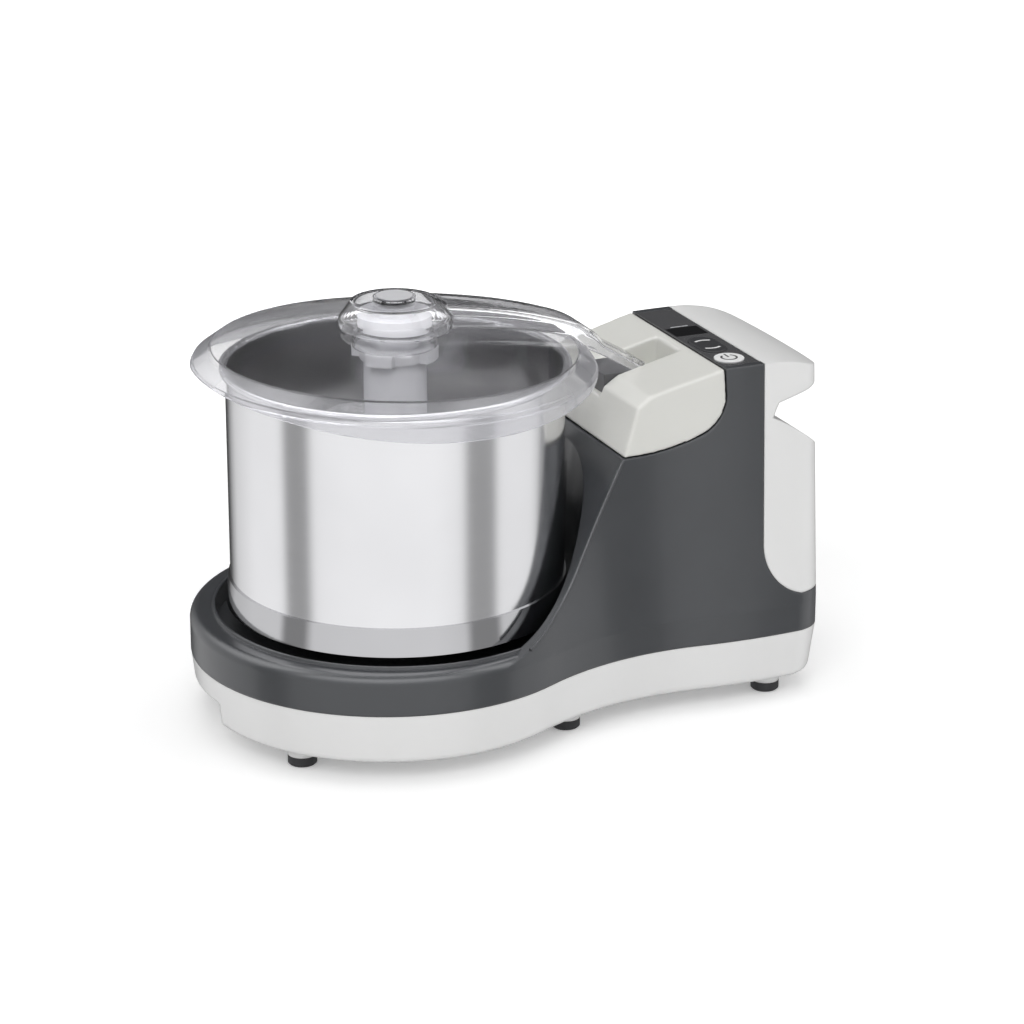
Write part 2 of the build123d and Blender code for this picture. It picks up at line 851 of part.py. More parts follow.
def make_arm_rest():
    fall = (arm_bend_height - arm_tip_height) / (arm_tip_x - arm_bend_x)
    rear_height = arm_tip_height - arm_depth - rest_arm_gap + (arm_tip_x - rest_rear_x) * fall
    crest_x = rest_rear_x - (rest_top - rear_height) / fall
    profile = make_face(Polyline(
        (rest_front_x, channel_floor),
        (rest_rear_x, channel_floor),
        (rest_rear_x, rear_height),
        (crest_x, rest_top),
        (rest_front_x, rest_top),
        close=True,
    ))
    return side_block(profile, channel_half_width - rest_gap)


def make_control_panel():
    plate = between(
        strip_front_x + seam, strip_rear_x + seam, panel_seat_gap - panel_half_length,
        panel_half_length - panel_seat_gap, panel_bottom, tower_top,
    )
    return plate - panel_openings(0)


def oblong(length, width, z_low, z_high, y):
    """An upright oblong whose long side runs across the strip."""
    shape = extrude(SlotOverall(length, width, rotation=90), amount=z_high - z_low)
    return Pos(controls_x, y, z_low) * shape


def panel_openings(grow):
    """Holes in the strip for window, indicator and buttons."""
    low = panel_bottom - overrun
    high = tower_top + overrun
    half = window_width / 2
    light_y = window_y + window_length / 2 + indicator_gap
    return [
        between(strip_middle_x - half, strip_middle_x + half,
                window_y - window_length / 2, window_y + window_length / 2, low, high),
        between(strip_middle_x - indicator_length / 2, strip_middle_x + indicator_length / 2,
                light_y, light_y + indicator_width, low, high),
        upright(power_radius + button_gap, low, high, controls_x, power_y),
        oblong(mode_length + button_gap * 2, mode_width + button_gap * 2, low, high, mode_y),
    ]


def make_display_window():
    half = window_width / 2 - window_gap
    reach = window_length / 2 - window_gap
    pane = between(strip_middle_x - half, strip_middle_x + half, window_y - reach, window_y + reach,
                   panel_bottom, tower_top + window_proud)
    light_y = window_y + window_length / 2 + indicator_gap
    bar_half = indicator_length / 2 - fit_gap
    bar = between(strip_middle_x - bar_half, strip_middle_x + bar_half, light_y + fit_gap,
                  light_y + indicator_width - fit_gap, panel_bottom, tower_top + window_proud)
    return [pane, bar]


def make_display_module():
    half = board_width / 2
    reach = window_length / 2 - wall / 2
    return between(strip_middle_x - half, strip_middle_x + half, window_y - reach, window_y + reach,
                   board_height + board_thickness, panel_bottom)


def make_power_button():
    top = tower_top + button_proud
    flange_top = panel_bottom - button_gap
    cap = upright(power_radius, flange_top, top, controls_x, power_y)
    flange = upright(power_radius + button_flange, flange_top - button_flange_thickness, flange_top,
                     controls_x, power_y)
    stem = upright(dome_radius, dome_top() + button_travel + button_free_gap, flange_top, controls_x, power_y)
    return fillet((cap + flange + stem).edges().group_by(Axis.Z)[-1], button_proud / 2)


def make_mode_button():
    top = tower_top + button_proud
    flange_top = panel_bottom - button_gap
    cap = oblong(mode_length, mode_width, flange_top, top, mode_y)
    flange = oblong(mode_length + button_flange * 2, mode_width + button_flange * 2,
                    flange_top - button_flange_thickness, flange_top, mode_y)
    stem = upright(dome_radius, dome_top() + button_travel + button_free_gap, flange_top, controls_x, mode_y)
    return fillet((cap + flange + stem).edges().group_by(Axis.Z)[-1], button_proud / 2)


def dome_top():
    """Top of the rubber domes under the buttons."""
    room = panel_bottom - board_height - board_thickness
    return board_height + board_thickness + room / 2 - button_travel


def make_button_domes():
    low = board_height + board_thickness
    return [Solid.make_cone(dome_radius * 2, dome_radius, dome_top() - low,
                            Plane((controls_x, y, low))) for y in (power_y, mode_y)]


def make_control_board():
    half = board_width / 2
    return between(strip_middle_x - half, strip_middle_x + half, -board_half_length, board_half_length,
                   board_height, board_height + board_thickness)


def make_board_posts():
    x_step = board_width / 2 - board_post_inset
    y_step = board_half_length - board_post_inset
    return [upright(board_post_radius, shelf_height, board_height, strip_middle_x + side_x * x_step, side_y * y_step)
            for side_x in (-1, 1) for side_y in (-1, 1)]


def skirt_block(inset):
    """The skirt as a block with a rounded lower edge, drawn in by inset."""
    high = footprint(inset, corner_radius - inset)
    low = footprint(inset + skirt_draft, corner_radius - inset)
    body = loft([Pos(0, 0, skirt_bottom + inset) * low, Pos(0, 0, skirt_top) * high], ruled=True)
    return fillet(body.edges().group_by(Axis.Z)[0], skirt_round - inset)


def plate_opening(grow):
    """The opening in the bottom of the skirt as a block, grown by grow."""
    inset = skirt_draft + skirt_round + skirt_lip - grow
    face = footprint(inset, corner_radius - skirt_round)
    return Pos(0, 0, plate_bottom) * extrude(face, amount=plate_thickness)


def make_base_skirt():
    shell = skirt_block(0) - skirt_block(wall) - plate_opening(plate_gap)
    return shell - hand_room(0, ring_radius) - gland_place() * Cylinder(gland_radius + fit_gap, ring_radius)


def hand_room(grow, depth):
    """The room for a hand under the left end."""
    return between(ring_left - overrun, ring_left + depth, recess_front - grow, recess_rear + grow,
                   skirt_bottom - overrun, recess_top + grow)


def gland_place():
    """On the outer face of the skirt, low in the middle of the back."""
    lean = skirt_draft / (skirt_top - skirt_bottom)
    back = (skirt_top - gland_height) * lean
    return Pos(rear_reach - back, 0, gland_height) * Rot(0, 90 + degrees(atan(lean)), 0)


def feet_spots():
    """Foot places on both sides."""
    places = ((front_foot_x, front_foot_y), (middle_foot_x, middle_foot_y), (rear_foot_x, rear_foot_y))
    return [(x, side * y) for x, y in places for side in (-1, 1)]


def make_bottom_plate():
    body = plate_opening(0)
    raised = Pos(0, 0, plate_thickness) * body
    body += hand_room(wall, recess_depth + wall) & (skirt_block(wall + plate_gap) + raised + body)
    for x, y in feet_spots():
        body += upright(foot_radius, foot_height, plate_bottom, x, y)
        body += upright(post_radius, plate_bottom, chassis_bottom, x, y)
    body -= hand_room(0, recess_depth)
    for x, y in feet_spots():
        body -= upright(screw_hole, foot_height - overrun, chassis_bottom + overrun, x, y)
    for number in range(floor_slot_count):
        y = (number - (floor_slot_count - 1) / 2) * floor_slot_pitch
        body -= between(floor_slot_x - floor_slot_length / 2, floor_slot_x + floor_slot_length / 2,
                        y - floor_slot_width / 2, y + floor_slot_width / 2,
                        plate_bottom - overrun, plate_top + overrun)
    return body


def make_rubber_feet():
    feet = []
    for x, y in feet_spots():
        foot = upright(foot_radius, 0, foot_height, x, y)
        foot = chamfer(foot.edges().group_by(Axis.Z)[0], foot_bevel)
        foot -= upright(foot_screw_head + fit_gap, -overrun, foot_screw_head_height, x, y)
        feet.append(foot - upright(screw_radius + fit_gap, 0, foot_height + overrun, x, y))
    return feet


def make_foot_screws():
    screws = []
    head_bottom = foot_screw_head_height / 3
    for x, y in feet_spots():
        head = upright(foot_screw_head, head_bottom, foot_screw_head_height, x, y)
        shank = upright(screw_radius, foot_screw_head_height, plate_top + foot_height, x, y)
        screws.append(head + shank)
    return screws


def make_chassis_plate():
    inset = wall + chassis_inset
    face = footprint(inset, corner_radius - inset)
    plate = Pos(0, 0, chassis_bottom) * extrude(face, amount=chassis_thickness)
    plate -= upright(bearing_tube_radius + fit_gap, chassis_bottom - overrun, chassis_top + overrun)
    plate -= upright(motor_bearing_radius * 2, chassis_bottom - overrun, chassis_top + overrun, motor_x)
    for x, y in chassis_holes():
        plate -= upright(screw_hole, chassis_bottom - overrun, chassis_top + overrun, x, y)
    return plate


def chassis_holes():
    """Holes for the screws into posts and bosses."""
    place = boss_reach / sqrt(2)
    return feet_spots() + [(side_x * place, side_y * place) for side_x in (-1, 1) for side_y in (-1, 1)]


def make_chassis_screws():
    screws = []
    for x, y in feet_spots():
        head = upright(chassis_screw_head, chassis_top, chassis_top + chassis_screw_head_height, x, y)
        shank = upright(screw_radius, chassis_bottom - foot_height, chassis_top, x, y)
        screws.append(head + shank)
    return screws


def make_housing_screws():
    place = boss_reach / sqrt(2)
    head = upright(chassis_screw_head, chassis_bottom - chassis_screw_head_height, chassis_bottom, place, place)
    shank = upright(screw_radius, chassis_bottom, pan_floor - wall * 2, place, place)
    return ring_of(head + shank, 4)


def make_cover_screws():
    head = Pos(0, 0, foot_screw_head_height / 2) * Cylinder(foot_screw_head, foot_screw_head_height)
    shank = Pos(0, 0, -wall * 2) * Cylinder(cross_screw_radius, wall * 4)
    return [place * (head + shank) for place in cover_screw_places()]


def make_cradle_screws():
    screws = []
    low = shelf_height - shelf_thickness
    for x, y in cradle_screw_spots():
        head = upright(foot_screw_head, low - foot_screw_head_height, low, x, y)
        screws.append(head + upright(cross_screw_radius, low, shelf_height + cradle_hole_depth - wall, x, y))
    return screws


def make_drum_shell():
    wall_tube = tube(drum_radius, drum_inner_radius, drum_bottom, drum_rim_height)
    floor = upright(drum_radius, drum_bottom, bed_bottom)
    floor -= upright(shaft_radius + fit_gap, drum_bottom - overrun, bed_bottom + overrun)
    bead = turned_circle(drum_radius + drum_rim_bead - drum_sheet / 2, drum_rim_height, drum_rim_bead)
    return wall_tube + floor + bead


def turned_circle(radius, height, thickness):
    """A ring of round section about the drum axis."""
    return Pos(0, 0, height) * Torus(radius, thickness)


def make_drum_band():
    body = turned((
        (drum_radius, band_bottom),
        (band_bottom_radius, band_bottom),
        (band_top_radius, band_top),
        (drum_radius, band_top),
    ))
    return body


def make_drum_socket():
    ring = tube(coupler_radius, shaft_radius + fit_gap, coupler_bottom + coupler_thickness, drum_bottom)
    pin_hole = upright(coupler_pin_radius + coupler_pin_gap, coupler_bottom, drum_bottom - skin, coupler_pin_circle)
    return ring - ring_of(pin_hole, coupler_pin_count)


def make_base_stone():
    return tube(drum_inner_radius - stone_bed_gap, bed_hole_radius, bed_bottom, bed_top)


def make_centre_tube():
    body = tube(hub_radius, hub_bore_radius, bed_bottom, hub_height)
    body += tube(hub_flange_radius, hub_bore_radius, bed_bottom, bed_bottom + hub_flange_thickness)
    body += upright(hub_radius, hub_height - hub_flange_thickness, hub_height)
    pin = upright(hub_pin_radius, hub_height - skin, hub_height + hub_pin_height)
    return body + fillet(pin.edges().group_by(Axis.Z)[-1], hub_pin_radius / 2)


def make_drum_shaft():
    return upright(shaft_radius, shaft_bottom, bed_bottom)


def make_drive_coupler():
    plate = tube(coupler_radius, shaft_radius, coupler_bottom, coupler_bottom + coupler_thickness)
    pin = upright(coupler_pin_radius, coupler_bottom + coupler_thickness,
                  coupler_bottom + coupler_thickness + coupler_pin_height, coupler_pin_circle)
    return plate + ring_of(pin, coupler_pin_count)


def races(inner, outer, z_low, width):
    """Inner and outer race of a ball bearing."""
    inner_race = tube(inner + bearing_race, inner, z_low, z_low + width)
    return inner_race, tube(outer, outer - bearing_race, z_low, z_low + width)


def make_drum_bearings():
    """The inner races, and the outer races with their balls."""
    inners = []
    outers = []
    middle = (shaft_radius + bearing_outer_radius) / 2
    ball = (bearing_outer_radius - shaft_radius) / 2 - bearing_race - fit_gap
    for z_low in (lower_bearing_bottom, upper_bearing_bottom):
        inner_race, outer_race = races(shaft_radius, bearing_outer_radius, z_low, bearing_width)
        inners.append(inner_race)
        outers.append(outer_race)
        outers += ring_of(Pos(middle, 0, z_low + bearing_width / 2) * Sphere(ball), bearing_ball_count)
    return inners, outers


def make_motor_bearings():
    """Bronze sleeve bearings of the motor shaft."""
    sleeves = []
    for direction in (-1, 1):
        low, high = motor_bearing_span(direction)
        sleeves.append(tube(motor_bearing_radius, motor_shaft_radius + fit_gap, low, high, motor_x))
    return sleeves


def make_bearing_housing():
    body = upright(bearing_tube_radius, bearing_tube_bottom, bearing_tube_top)
    body += upright(bearing_flange_radius, chassis_top, chassis_top + bearing_flange_thickness)
    body -= upright(bearing_outer_radius - bearing_shoulder, bearing_tube_bottom - overrun, bearing_tube_top + overrun)
    body -= upright(bearing_outer_radius, bearing_tube_bottom - overrun, lower_bearing_bottom + bearing_width)
    body -= upright(bearing_outer_radius, upper_bearing_bottom, bearing_tube_top + overrun)
    screw = upright(bearing_screw_radius, chassis_top - overrun, bearing_tube_top, bearing_screw_circle)
    return body - ring_of(screw, 4, 45)


def make_bearing_screws():
    top = chassis_top + bearing_flange_thickness
    head = upright(chassis_screw_head, top, top + chassis_screw_head_height, bearing_screw_circle)
    shank = upright(bearing_screw_radius - fit_gap, chassis_top, top, bearing_screw_circle)
    return ring_of(head + shank, 4, 45)


def make_pan_seal():
    return tube(pan_hole_radius, bearing_tube_radius, pan_floor - wall, pan_floor + wall / 2)


def pulley(radius, rim, bore, hub, x=0):
    """A flat belt pulley with lips, web and hub."""
    top = pulley_bottom + pulley_width
    middle = pulley_bottom + pulley_width / 2
    body = upright(radius, pulley_bottom, top, x)
    body += upright(radius + pulley_lip, pulley_bottom, pulley_bottom + pulley_lip_thickness, x)
    body += upright(radius + pulley_lip, top - pulley_lip_thickness, top, x)
    if rim:
        inner = radius - rim
        body -= tube(inner, hub, middle + drum_pulley_web / 2, top + overrun, x)
        body -= tube(inner, hub, pulley_bottom - overrun, middle - drum_pulley_web / 2, x)
        hole = upright(pulley_hole_radius, pulley_bottom, top, (inner + hub) / 2)
        body -= ring_of(hole, pulley_hole_count)
    return body - upright(bore, pulley_bottom - overrun, top + overrun, x)


def make_drum_pulley():
    return pulley(drum_pulley_radius, drum_pulley_rim, shaft_radius, drum_pulley_hub)


def make_motor_pulley():
    return pulley(motor_pulley_radius, 0, motor_shaft_radius, 0, motor_x)


def belt_loop(grow):
    """The loop around both pulleys as a face, grown by grow."""
    circles = Circle(drum_pulley_radius + grow).edges() + (Pos(motor_x, 0) * Circle(motor_pulley_radius + grow)).edges()
    return make_hull(circles)


def make_drive_belt():
    low = pulley_bottom + pulley_lip_thickness + belt_gap * 4
    width = pulley_width - pulley_lip_thickness * 2 - belt_gap * 8
    return Pos(0, 0, low) * extrude(belt_loop(belt_gap + belt_thickness) - belt_loop(belt_gap), amount=width)


def make_stator_core():
    face = RectangleRounded(stator_half * 2, stator_half * 2, stator_corner) - Circle(stator_bore)
    core = Pos(motor_x, 0, stator_bottom) * extrude(face, amount=stator_height)
    for x, y in bolt_places():
        core -= upright(bracket_bolt_radius + fit_gap, stator_bottom - overrun, stator_top + overrun, x, y)
    return core


def bolt_places():
    """The four motor bolts."""
    step = stator_half * bracket_bolt_circle_share
    return [(motor_x + side_x * step, side_y * step) for side_x in (-1, 1) for side_y in (-1, 1)]


def make_windings():
    coils = []
    for low in (stator_bottom - winding_height, stator_top):
        coil = tube(winding_radius, winding_bore, low, low + winding_height, motor_x)
        coils.append(fillet(coil.edges().group_by(Axis.Z)[-1] + coil.edges().group_by(Axis.Z)[0], winding_height / 4))
    return coils


def bracket(direction):
    """An end bracket of the motor; direction is 1 for the top one and -1 for the bottom one."""
    face_height = stator_top if direction > 0 else stator_bottom
    end_height = face_height + direction * bracket_height
    low = min(face_height, end_height)
    high = max(face_height, end_height)
    cup = Pos(motor_x, 0, low) * extrude(
        RectangleRounded(stator_half * 2, stator_half * 2, stator_corner), amount=high - low
    )
    room_low = low if direction > 0 else low + bracket_wall
    room_high = high - bracket_wall if direction > 0 else high
    cup -= upright(stator_half - bracket_wall, room_low, room_high, motor_x)
    boss_low = high - bracket_wall - motor_bearing_width / 2 if direction > 0 else low
    boss_high = high if direction > 0 else low + bracket_wall + motor_bearing_width / 2
    cup += upright(motor_bearing_radius + bracket_wall, boss_low, boss_high, motor_x)
    bearing_low, bearing_high = motor_bearing_span(direction)
    cup -= upright(motor_bearing_radius, bearing_low, bearing_high, motor_x)
    cup -= upright(motor_shaft_radius * 1.4, low - overrun, high + overrun, motor_x)
    for x, y in bolt_places():
        cup -= upright(bracket_bolt_radius + fit_gap, low - overrun, high + overrun, x, y)
    return cup


def motor_bearing_span(direction):
    """Height range of a motor bearing."""
    if direction > 0:
        high = stator_top + bracket_height - bracket_wall / 2
        return high - motor_bearing_width, high
    low = stator_bottom - bracket_height + bracket_wall / 2
    return low, low + motor_bearing_width


def make_motor_bolts():
    bolts = []
    low = stator_bottom - bracket_height
    high = stator_top + bracket_height
    for x, y in bolt_places():
        shank = upright(bracket_bolt_radius, chassis_top, high, x, y)
        head = upright(bracket_bolt_radius * 2, high, high + bracket_bolt_radius * 1.2, x, y)
        spacer = tube(motor_leg_radius, bracket_bolt_radius, chassis_top, low, x, y)
        bolts.append(shank + head + spacer)
    return bolts


def make_rotor():
    body = tube(rotor_radius, motor_shaft_radius, stator_bottom, stator_top, motor_x)
    for low in (stator_bottom - rotor_ring_height, stator_top):
        body += tube(rotor_ring_radius, motor_shaft_radius, low, low + rotor_ring_height, motor_x)
    return body


def make_motor_shaft():
    return upright(motor_shaft_radius, motor_shaft_bottom, motor_shaft_top, motor_x)


def make_fan():
    body = upright(fan_radius, fan_bottom, fan_bottom + fan_disc)
    body += upright(fan_hub_radius, fan_bottom, fan_bottom + fan_blade_height)
    blade = between(fan_hub_radius - skin, fan_radius, -fan_blade_thickness / 2, fan_blade_thickness / 2,
                    fan_bottom, fan_bottom + fan_disc + fan_blade_height)
    body = joined([body] + ring_of(blade, fan_blade_count))
    body -= upright(motor_shaft_radius, fan_bottom - overrun, fan_bottom + fan_blade_height * 2)
    return Pos(motor_x, 0, 0) * body


def make_capacitor():
    can = upright(capacitor_radius, chassis_top, chassis_top + capacitor_height, motor_x, capacitor_y)
    return fillet(can.edges().group_by(Axis.Z)[-1], capacitor_radius / 6)


def make_capacitor_clip():
    low = chassis_top + capacitor_height * clip_up_share
    ring = tube(capacitor_radius + clip_thickness, capacitor_radius, low, low + clip_height, motor_x, capacitor_y)
    reach = capacitor_radius + clip_thickness
    foot = between(motor_x + reach - clip_thickness, motor_x + reach + clip_height, capacitor_y - clip_height / 2,
                   capacitor_y + clip_height / 2, chassis_top, chassis_top + clip_thickness)
    leg = between(motor_x + reach - clip_thickness / 2, motor_x + reach + clip_thickness / 2,
                  capacitor_y - clip_height / 2, capacitor_y + clip_height / 2, chassis_top, low + clip_height)
    whole = ring + foot + leg
    return whole - upright(capacitor_radius, chassis_top - overrun, low + clip_height * 2, motor_x, capacitor_y)


def make_power_module():
    half = module_box_length / 2
    reach = module_box_width / 2
    return between(motor_x - half, motor_x + half, module_box_y - reach, module_box_y + reach,
                   chassis_top, chassis_top + module_box_height)


def make_cord_gland():
    inner_end = wall * 3
    neck = Pos(0, 0, -inner_end / 2) * Cylinder(gland_radius, inner_end)
    flange = Pos(0, 0, gland_flange_thickness / 2) * Cylinder(gland_flange_radius, gland_flange_thickness)
    return gland_place() * (neck + flange - Cylinder(gland_bore_radius, ring_radius))


def make_stone_column():
    low = bed_top + column_start_gap
    pocket_top = hub_height + hub_pin_height + pin_gap
    body = upright(column_radius, low, column_top)
    for wing in (0, 90):
        arm = Box(wing_radius * 2, wing_width, wing_height) & Cylinder(wing_radius, wing_height)
        body += Pos(0, 0, column_top + wing_height / 2) * Rot(0, 0, 45 + wing) * arm
    body += upright(wing_root_radius, column_top, wing_top)
    body += upright(neck_radius, wing_top, neck_top)
    body += upright(collar_low_radius, neck_top, collar_low_top)
    body += upright(collar_radius, collar_low_top, collar_top)
    body += upright(stub_radius, collar_top, stub_top)
    boss = Rot(90, 0, 0) * Cylinder(axle_boss_radius, axle_boss_end * 2)
    body += Pos(0, 0, roller_height) * boss
    body -= upright(column_bore_radius, low - overrun, hub_height + pin_gap)
    body -= upright(hub_pin_radius + pin_gap, low - overrun, pocket_top)
    for axle in axle_pair(axle_radius, axle_seat, axle_boss_end + overrun):
        body -= axle
    return body


def axle_pair(radius, start, end):
    """Two level rods on the roller axis, one to each side."""
    rod = Pos(0, (start + end) / 2, roller_height) * Rot(90, 0, 0) * Cylinder(radius, end - start)
    return [mirror(rod, about=Plane.XZ), rod]


def sleeve_pair(outer, inner, start, end):
    """Two level sleeves on the roller axis."""
    rods = axle_pair(outer, start, end)
    bores = axle_pair(inner, start - overrun, end + overrun)
    return [rod - bore for rod, bore in zip(rods, bores)]


def roller_end():
    """Outer end of a roller."""
    return roller_start + roller_length


def axle_end():
    """Outer end of an axle, at the outside of its nut."""
    return roller_end() + washer_gap + washer_thickness + washer_gap + nut_thickness - axle_end_gap


def make_rollers():
    rollers = []
    for roller in sleeve_pair(roller_radius, roller_bore_radius, roller_start, roller_end()):
        rims = [edge for edge in roller.edges().filter_by(GeomType.CIRCLE) if edge.radius > roller_bore_radius * 2]
        rollers.append(chamfer(rims, roller_bevel))
    return rollers


def make_bushes():
    inner = axle_radius + fit_gap
    near = sleeve_pair(roller_bore_radius, inner, roller_start, roller_start + bush_length)
    far = sleeve_pair(roller_bore_radius, inner, roller_end() - bush_length, roller_end())
    return [[near[side], far[side]] for side in (0, 1)]


def make_axle_washers():
    start = roller_end() + washer_gap
    return sleeve_pair(washer_radius, axle_radius, start, start + washer_thickness)


def make_axle_nuts():
    start = roller_end() + washer_gap + washer_thickness
    return sleeve_pair(nut_radius, axle_radius, start, start + nut_thickness)


def scraper_radius():
    """Reach of the scraper blade."""
    return drum_inner_radius - scraper_wall_gap


def make_scraper_arm():
    holder_x = scraper_radius() - blade_reach
    top = scraper_bottom + scraper_height
    arm = between(-holder_x, -column_radius + wall / 2, -scraper_width / 2, scraper_width / 2, scraper_bottom, top)
    clamp = upright(column_radius + wall, scraper_bottom, top)
    holder = between(-holder_x - wall / 2, -holder_x + scraper_holder_thickness, -scraper_width / 2,
                     scraper_width / 2, top - scraper_holder_height, top)
    whole = joined([arm, clamp, holder]) - upright(column_radius, scraper_bottom - overrun, top + overrun)
    return whole - blade_room(fit_gap)


def blade_room(grow):
    """The slot of the blade in its holder."""
    return between(-scraper_radius(), wall + blade_reach - scraper_radius(), -blade_thickness / 2 - grow,
                   blade_thickness / 2 + grow, bed_top + blade_bottom_gap, scraper_bottom + scraper_height)


def make_scraper_blade():
    return blade_room(0)


def lid_block(drop):
    """The solid under the lid's outer surface, drawn in by drop, leaning a little to the tower."""
    middle_share = 0.5
    rise_share = 1 - middle_share ** 2
    crown_top = lid_crease_height + lid_crown_rise - drop
    crease = Vector(lid_crease_radius - drop / 3, lid_crease_height - drop)
    bulge = Vector(crease.X * middle_share, crease.Y + lid_crown_rise * rise_share)
    edge = lid_edge_radius - drop
    shoulder = lid_shoulder_height - drop
    low = lid_edge_middle - lid_crown_rise
    outline = ThreePointArc((0, crown_top), bulge, crease) + Polyline(
        crease,
        (edge - lid_shoulder_bevel, shoulder + lid_shoulder_bevel),
        (edge, shoulder - lid_shoulder_bevel),
        (edge, low),
        (0, low),
        (0, crown_top),
    )
    return lean_lid(revolve(Plane.XZ * make_face(outline), Axis.Z))


def lean_lid(piece):
    """The lid's lean about the middle of its crease."""
    pivot = Pos(0, 0, lid_crease_height)
    return pivot * Rot(0, degrees(atan(lid_side_drop / lid_edge_radius)), 0) * pivot.inverse() * piece


def lid_edge_cut():
    """What is cut away below the waved lower edge."""
    reach = lid_edge_radius + overrun
    low = lid_edge_middle - lid_crown_rise * 2
    side = lid_edge_middle + lid_edge_side_rise
    outline = ThreePointArc((-lid_edge_radius, side), (0, lid_edge_middle), (lid_edge_radius, side)) + Polyline(
        (lid_edge_radius, side),
        (reach, side),
        (reach, low),
        (-reach, low),
        (-reach, side),
        (-lid_edge_radius, side),
    )
    return lean_lid(side_block(make_face(outline), reach))


def make_lid():
    shell = lid_block(0) - lid_block(lid_sheet) - lid_edge_cut()
    collar = upright(lid_hole_radius + lid_sheet, wing_top, hub_top) & lid_block(0)
    return shell + collar - upright(lid_hole_radius, wing_top - overrun, hub_top)


def arm_side_view(drop):
    """Side view of the arm beam, its top lowered by drop."""
    top = [Vector(along * arm_bend_x, arm_bend_height - drop + rise * (hub_top - arm_bend_height))
           for along, rise in zip(arm_along_shares, arm_rise_shares)]
    depth = arm_depth if not drop else arm_depth * 2
    tip = Vector(arm_tip_x - drop, arm_tip_height - drop)
    crossing = Vector(lid_edge_radius, lid_edge_middle + lid_edge_side_rise - lid_side_drop)
    return make_face(Spline(*top) + Polyline(
        top[-1],
        tip,
        (tip.X, tip.Y - depth),
        (top[-1].X, top[-1].Y - depth),
        crossing,
        (top[0].X, lid_crease_height),
        top[0],
    ))


def make_lid_arm():
    beam = side_block(arm_side_view(0), arm_half_width)
    beam -= side_block(arm_side_view(arm_sheet), arm_half_width - arm_sheet)
    cup = hub_cup(0)
    whole = joined([cup, beam]) - hub_cup(arm_sheet)
    whole -= upright(knob_stem_radius + knob_bore_gap, hub_foot_height, hub_top + overrun)
    return whole - lid_block(0)


def hub_cup(drop):
    """The hub of the arm as a block, drawn in by drop."""
    top = hub_top - drop
    cone = Solid.make_cone(hub_foot_radius - drop, hub_top_radius - drop, top - hub_foot_height,
                           Plane((0, 0, hub_foot_height)))
    return cone + upright(hub_foot_radius - drop, lid_crease_height, hub_foot_height)


def make_lock_knob():
    disc = upright(knob_radius, hub_top + knob_gap, hub_top + knob_gap + knob_height)
    stem = upright(knob_stem_radius, stub_top + knob_gap, hub_top + knob_gap)
    grip = upright(knob_grip_radius, hub_top, hub_top + knob_gap + knob_height, knob_radius)
    return disc + stem - ring_of(grip, knob_grip_count)


def make_knob_cap():
    low = hub_top + knob_gap + knob_height
    return upright(knob_cap_radius, low, low + knob_cap_height)


def save(name, shape):
    """Write one named piece, moved to the final origin."""
    pieces = shape if isinstance(shape, (list, tuple)) else [shape]
    solids = []
    for piece in pieces:
        solids += list((Pos(centre_shift, 0, 0) * piece).solids())
    export_step(solids[0] if len(solids) == 1 else Compound(solids), f"parts/{name}.step")


def main():
    os.makedirs("parts", exist_ok=True)
    shell = casing_shell()
    save("main_housing", make_main_housing(shell))
    save("rear_cover", make_rear_cover(shell))
    save("arm_cradle", make_arm_cradle(shell))
    save("arm_rest", make_arm_rest())
    save("base_skirt", make_base_skirt())
    save("bottom_plate", make_bottom_plate())
    save("rubber_feet", make_rubber_feet())
    save("foot_screws", make_foot_screws())
    save("chassis_plate", make_chassis_plate())
    save("chassis_screws", make_chassis_screws() + make_housing_screws() + make_bearing_screws())
    save("casing_screws", make_cover_screws() + make_cradle_screws())
    save("cord_gland", make_cord_gland())
    save("control_panel", make_control_panel())
    save("display_window", make_display_window())
    save("display_module", make_display_module())
    save("control_board", make_control_board())
    save("board_posts", make_board_posts())
    save("power_button", make_power_button())
    save("mode_button", make_mode_button())
    save("button_domes", make_button_domes())
    save("drum_shell", make_drum_shell())
    save("drum_band", make_drum_band())
    save("drum_socket", make_drum_socket())
    save("base_stone", make_base_stone())
    save("centre_tube", make_centre_tube())
    save("drum_shaft", make_drum_shaft())
    save("drive_coupler", make_drive_coupler())
    inner_races, outer_races = make_drum_bearings()
    save("drum_bearing_inner_races", inner_races)
    save("drum_bearings", outer_races)
    save("bearing_housing", make_bearing_housing())
    save("pan_seal", make_pan_seal())
    save("drum_pulley", make_drum_pulley())
    save("motor_pulley", make_motor_pulley())
    save("drive_belt", make_drive_belt())
    save("stator_core", make_stator_core())
    save("stator_windings", make_windings())
    save("motor_bracket_top", bracket(1))
    save("motor_bracket_bottom", bracket(-1))
    save("motor_bearings", make_motor_bearings())
    save("motor_bolts", make_motor_bolts())
    save("rotor", make_rotor())
    save("motor_shaft", make_motor_shaft())
    save("cooling_fan", make_fan())
    save("run_capacitor", make_capacitor())
    save("capacitor_clip", make_capacitor_clip())
    save("power_module", make_power_module())
    save("stone_column", make_stone_column())
    save("roller_axles", axle_pair(axle_radius, axle_seat, axle_end()))
    rollers = make_rollers()
    bushes = make_bushes()
    save("roller_stone_front", rollers[0])
    save("roller_stone_rear", rollers[1])
    save("bushes_front", bushes[0])
    save("bushes_rear", bushes[1])
    save("axle_washers", make_axle_washers())
    save("axle_nuts", make_axle_nuts())
    save("scraper_arm", make_scraper_arm())
    save("scraper_blade", make_scraper_blade())
    save("lid", make_lid())
    save("lid_arm", make_lid_arm())
    save("lock_knob", make_lock_knob())
    save("knob_cap", make_knob_cap())


main()
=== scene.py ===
import json
import math

import bmesh
import bpy
from mathutils import Matrix, Vector


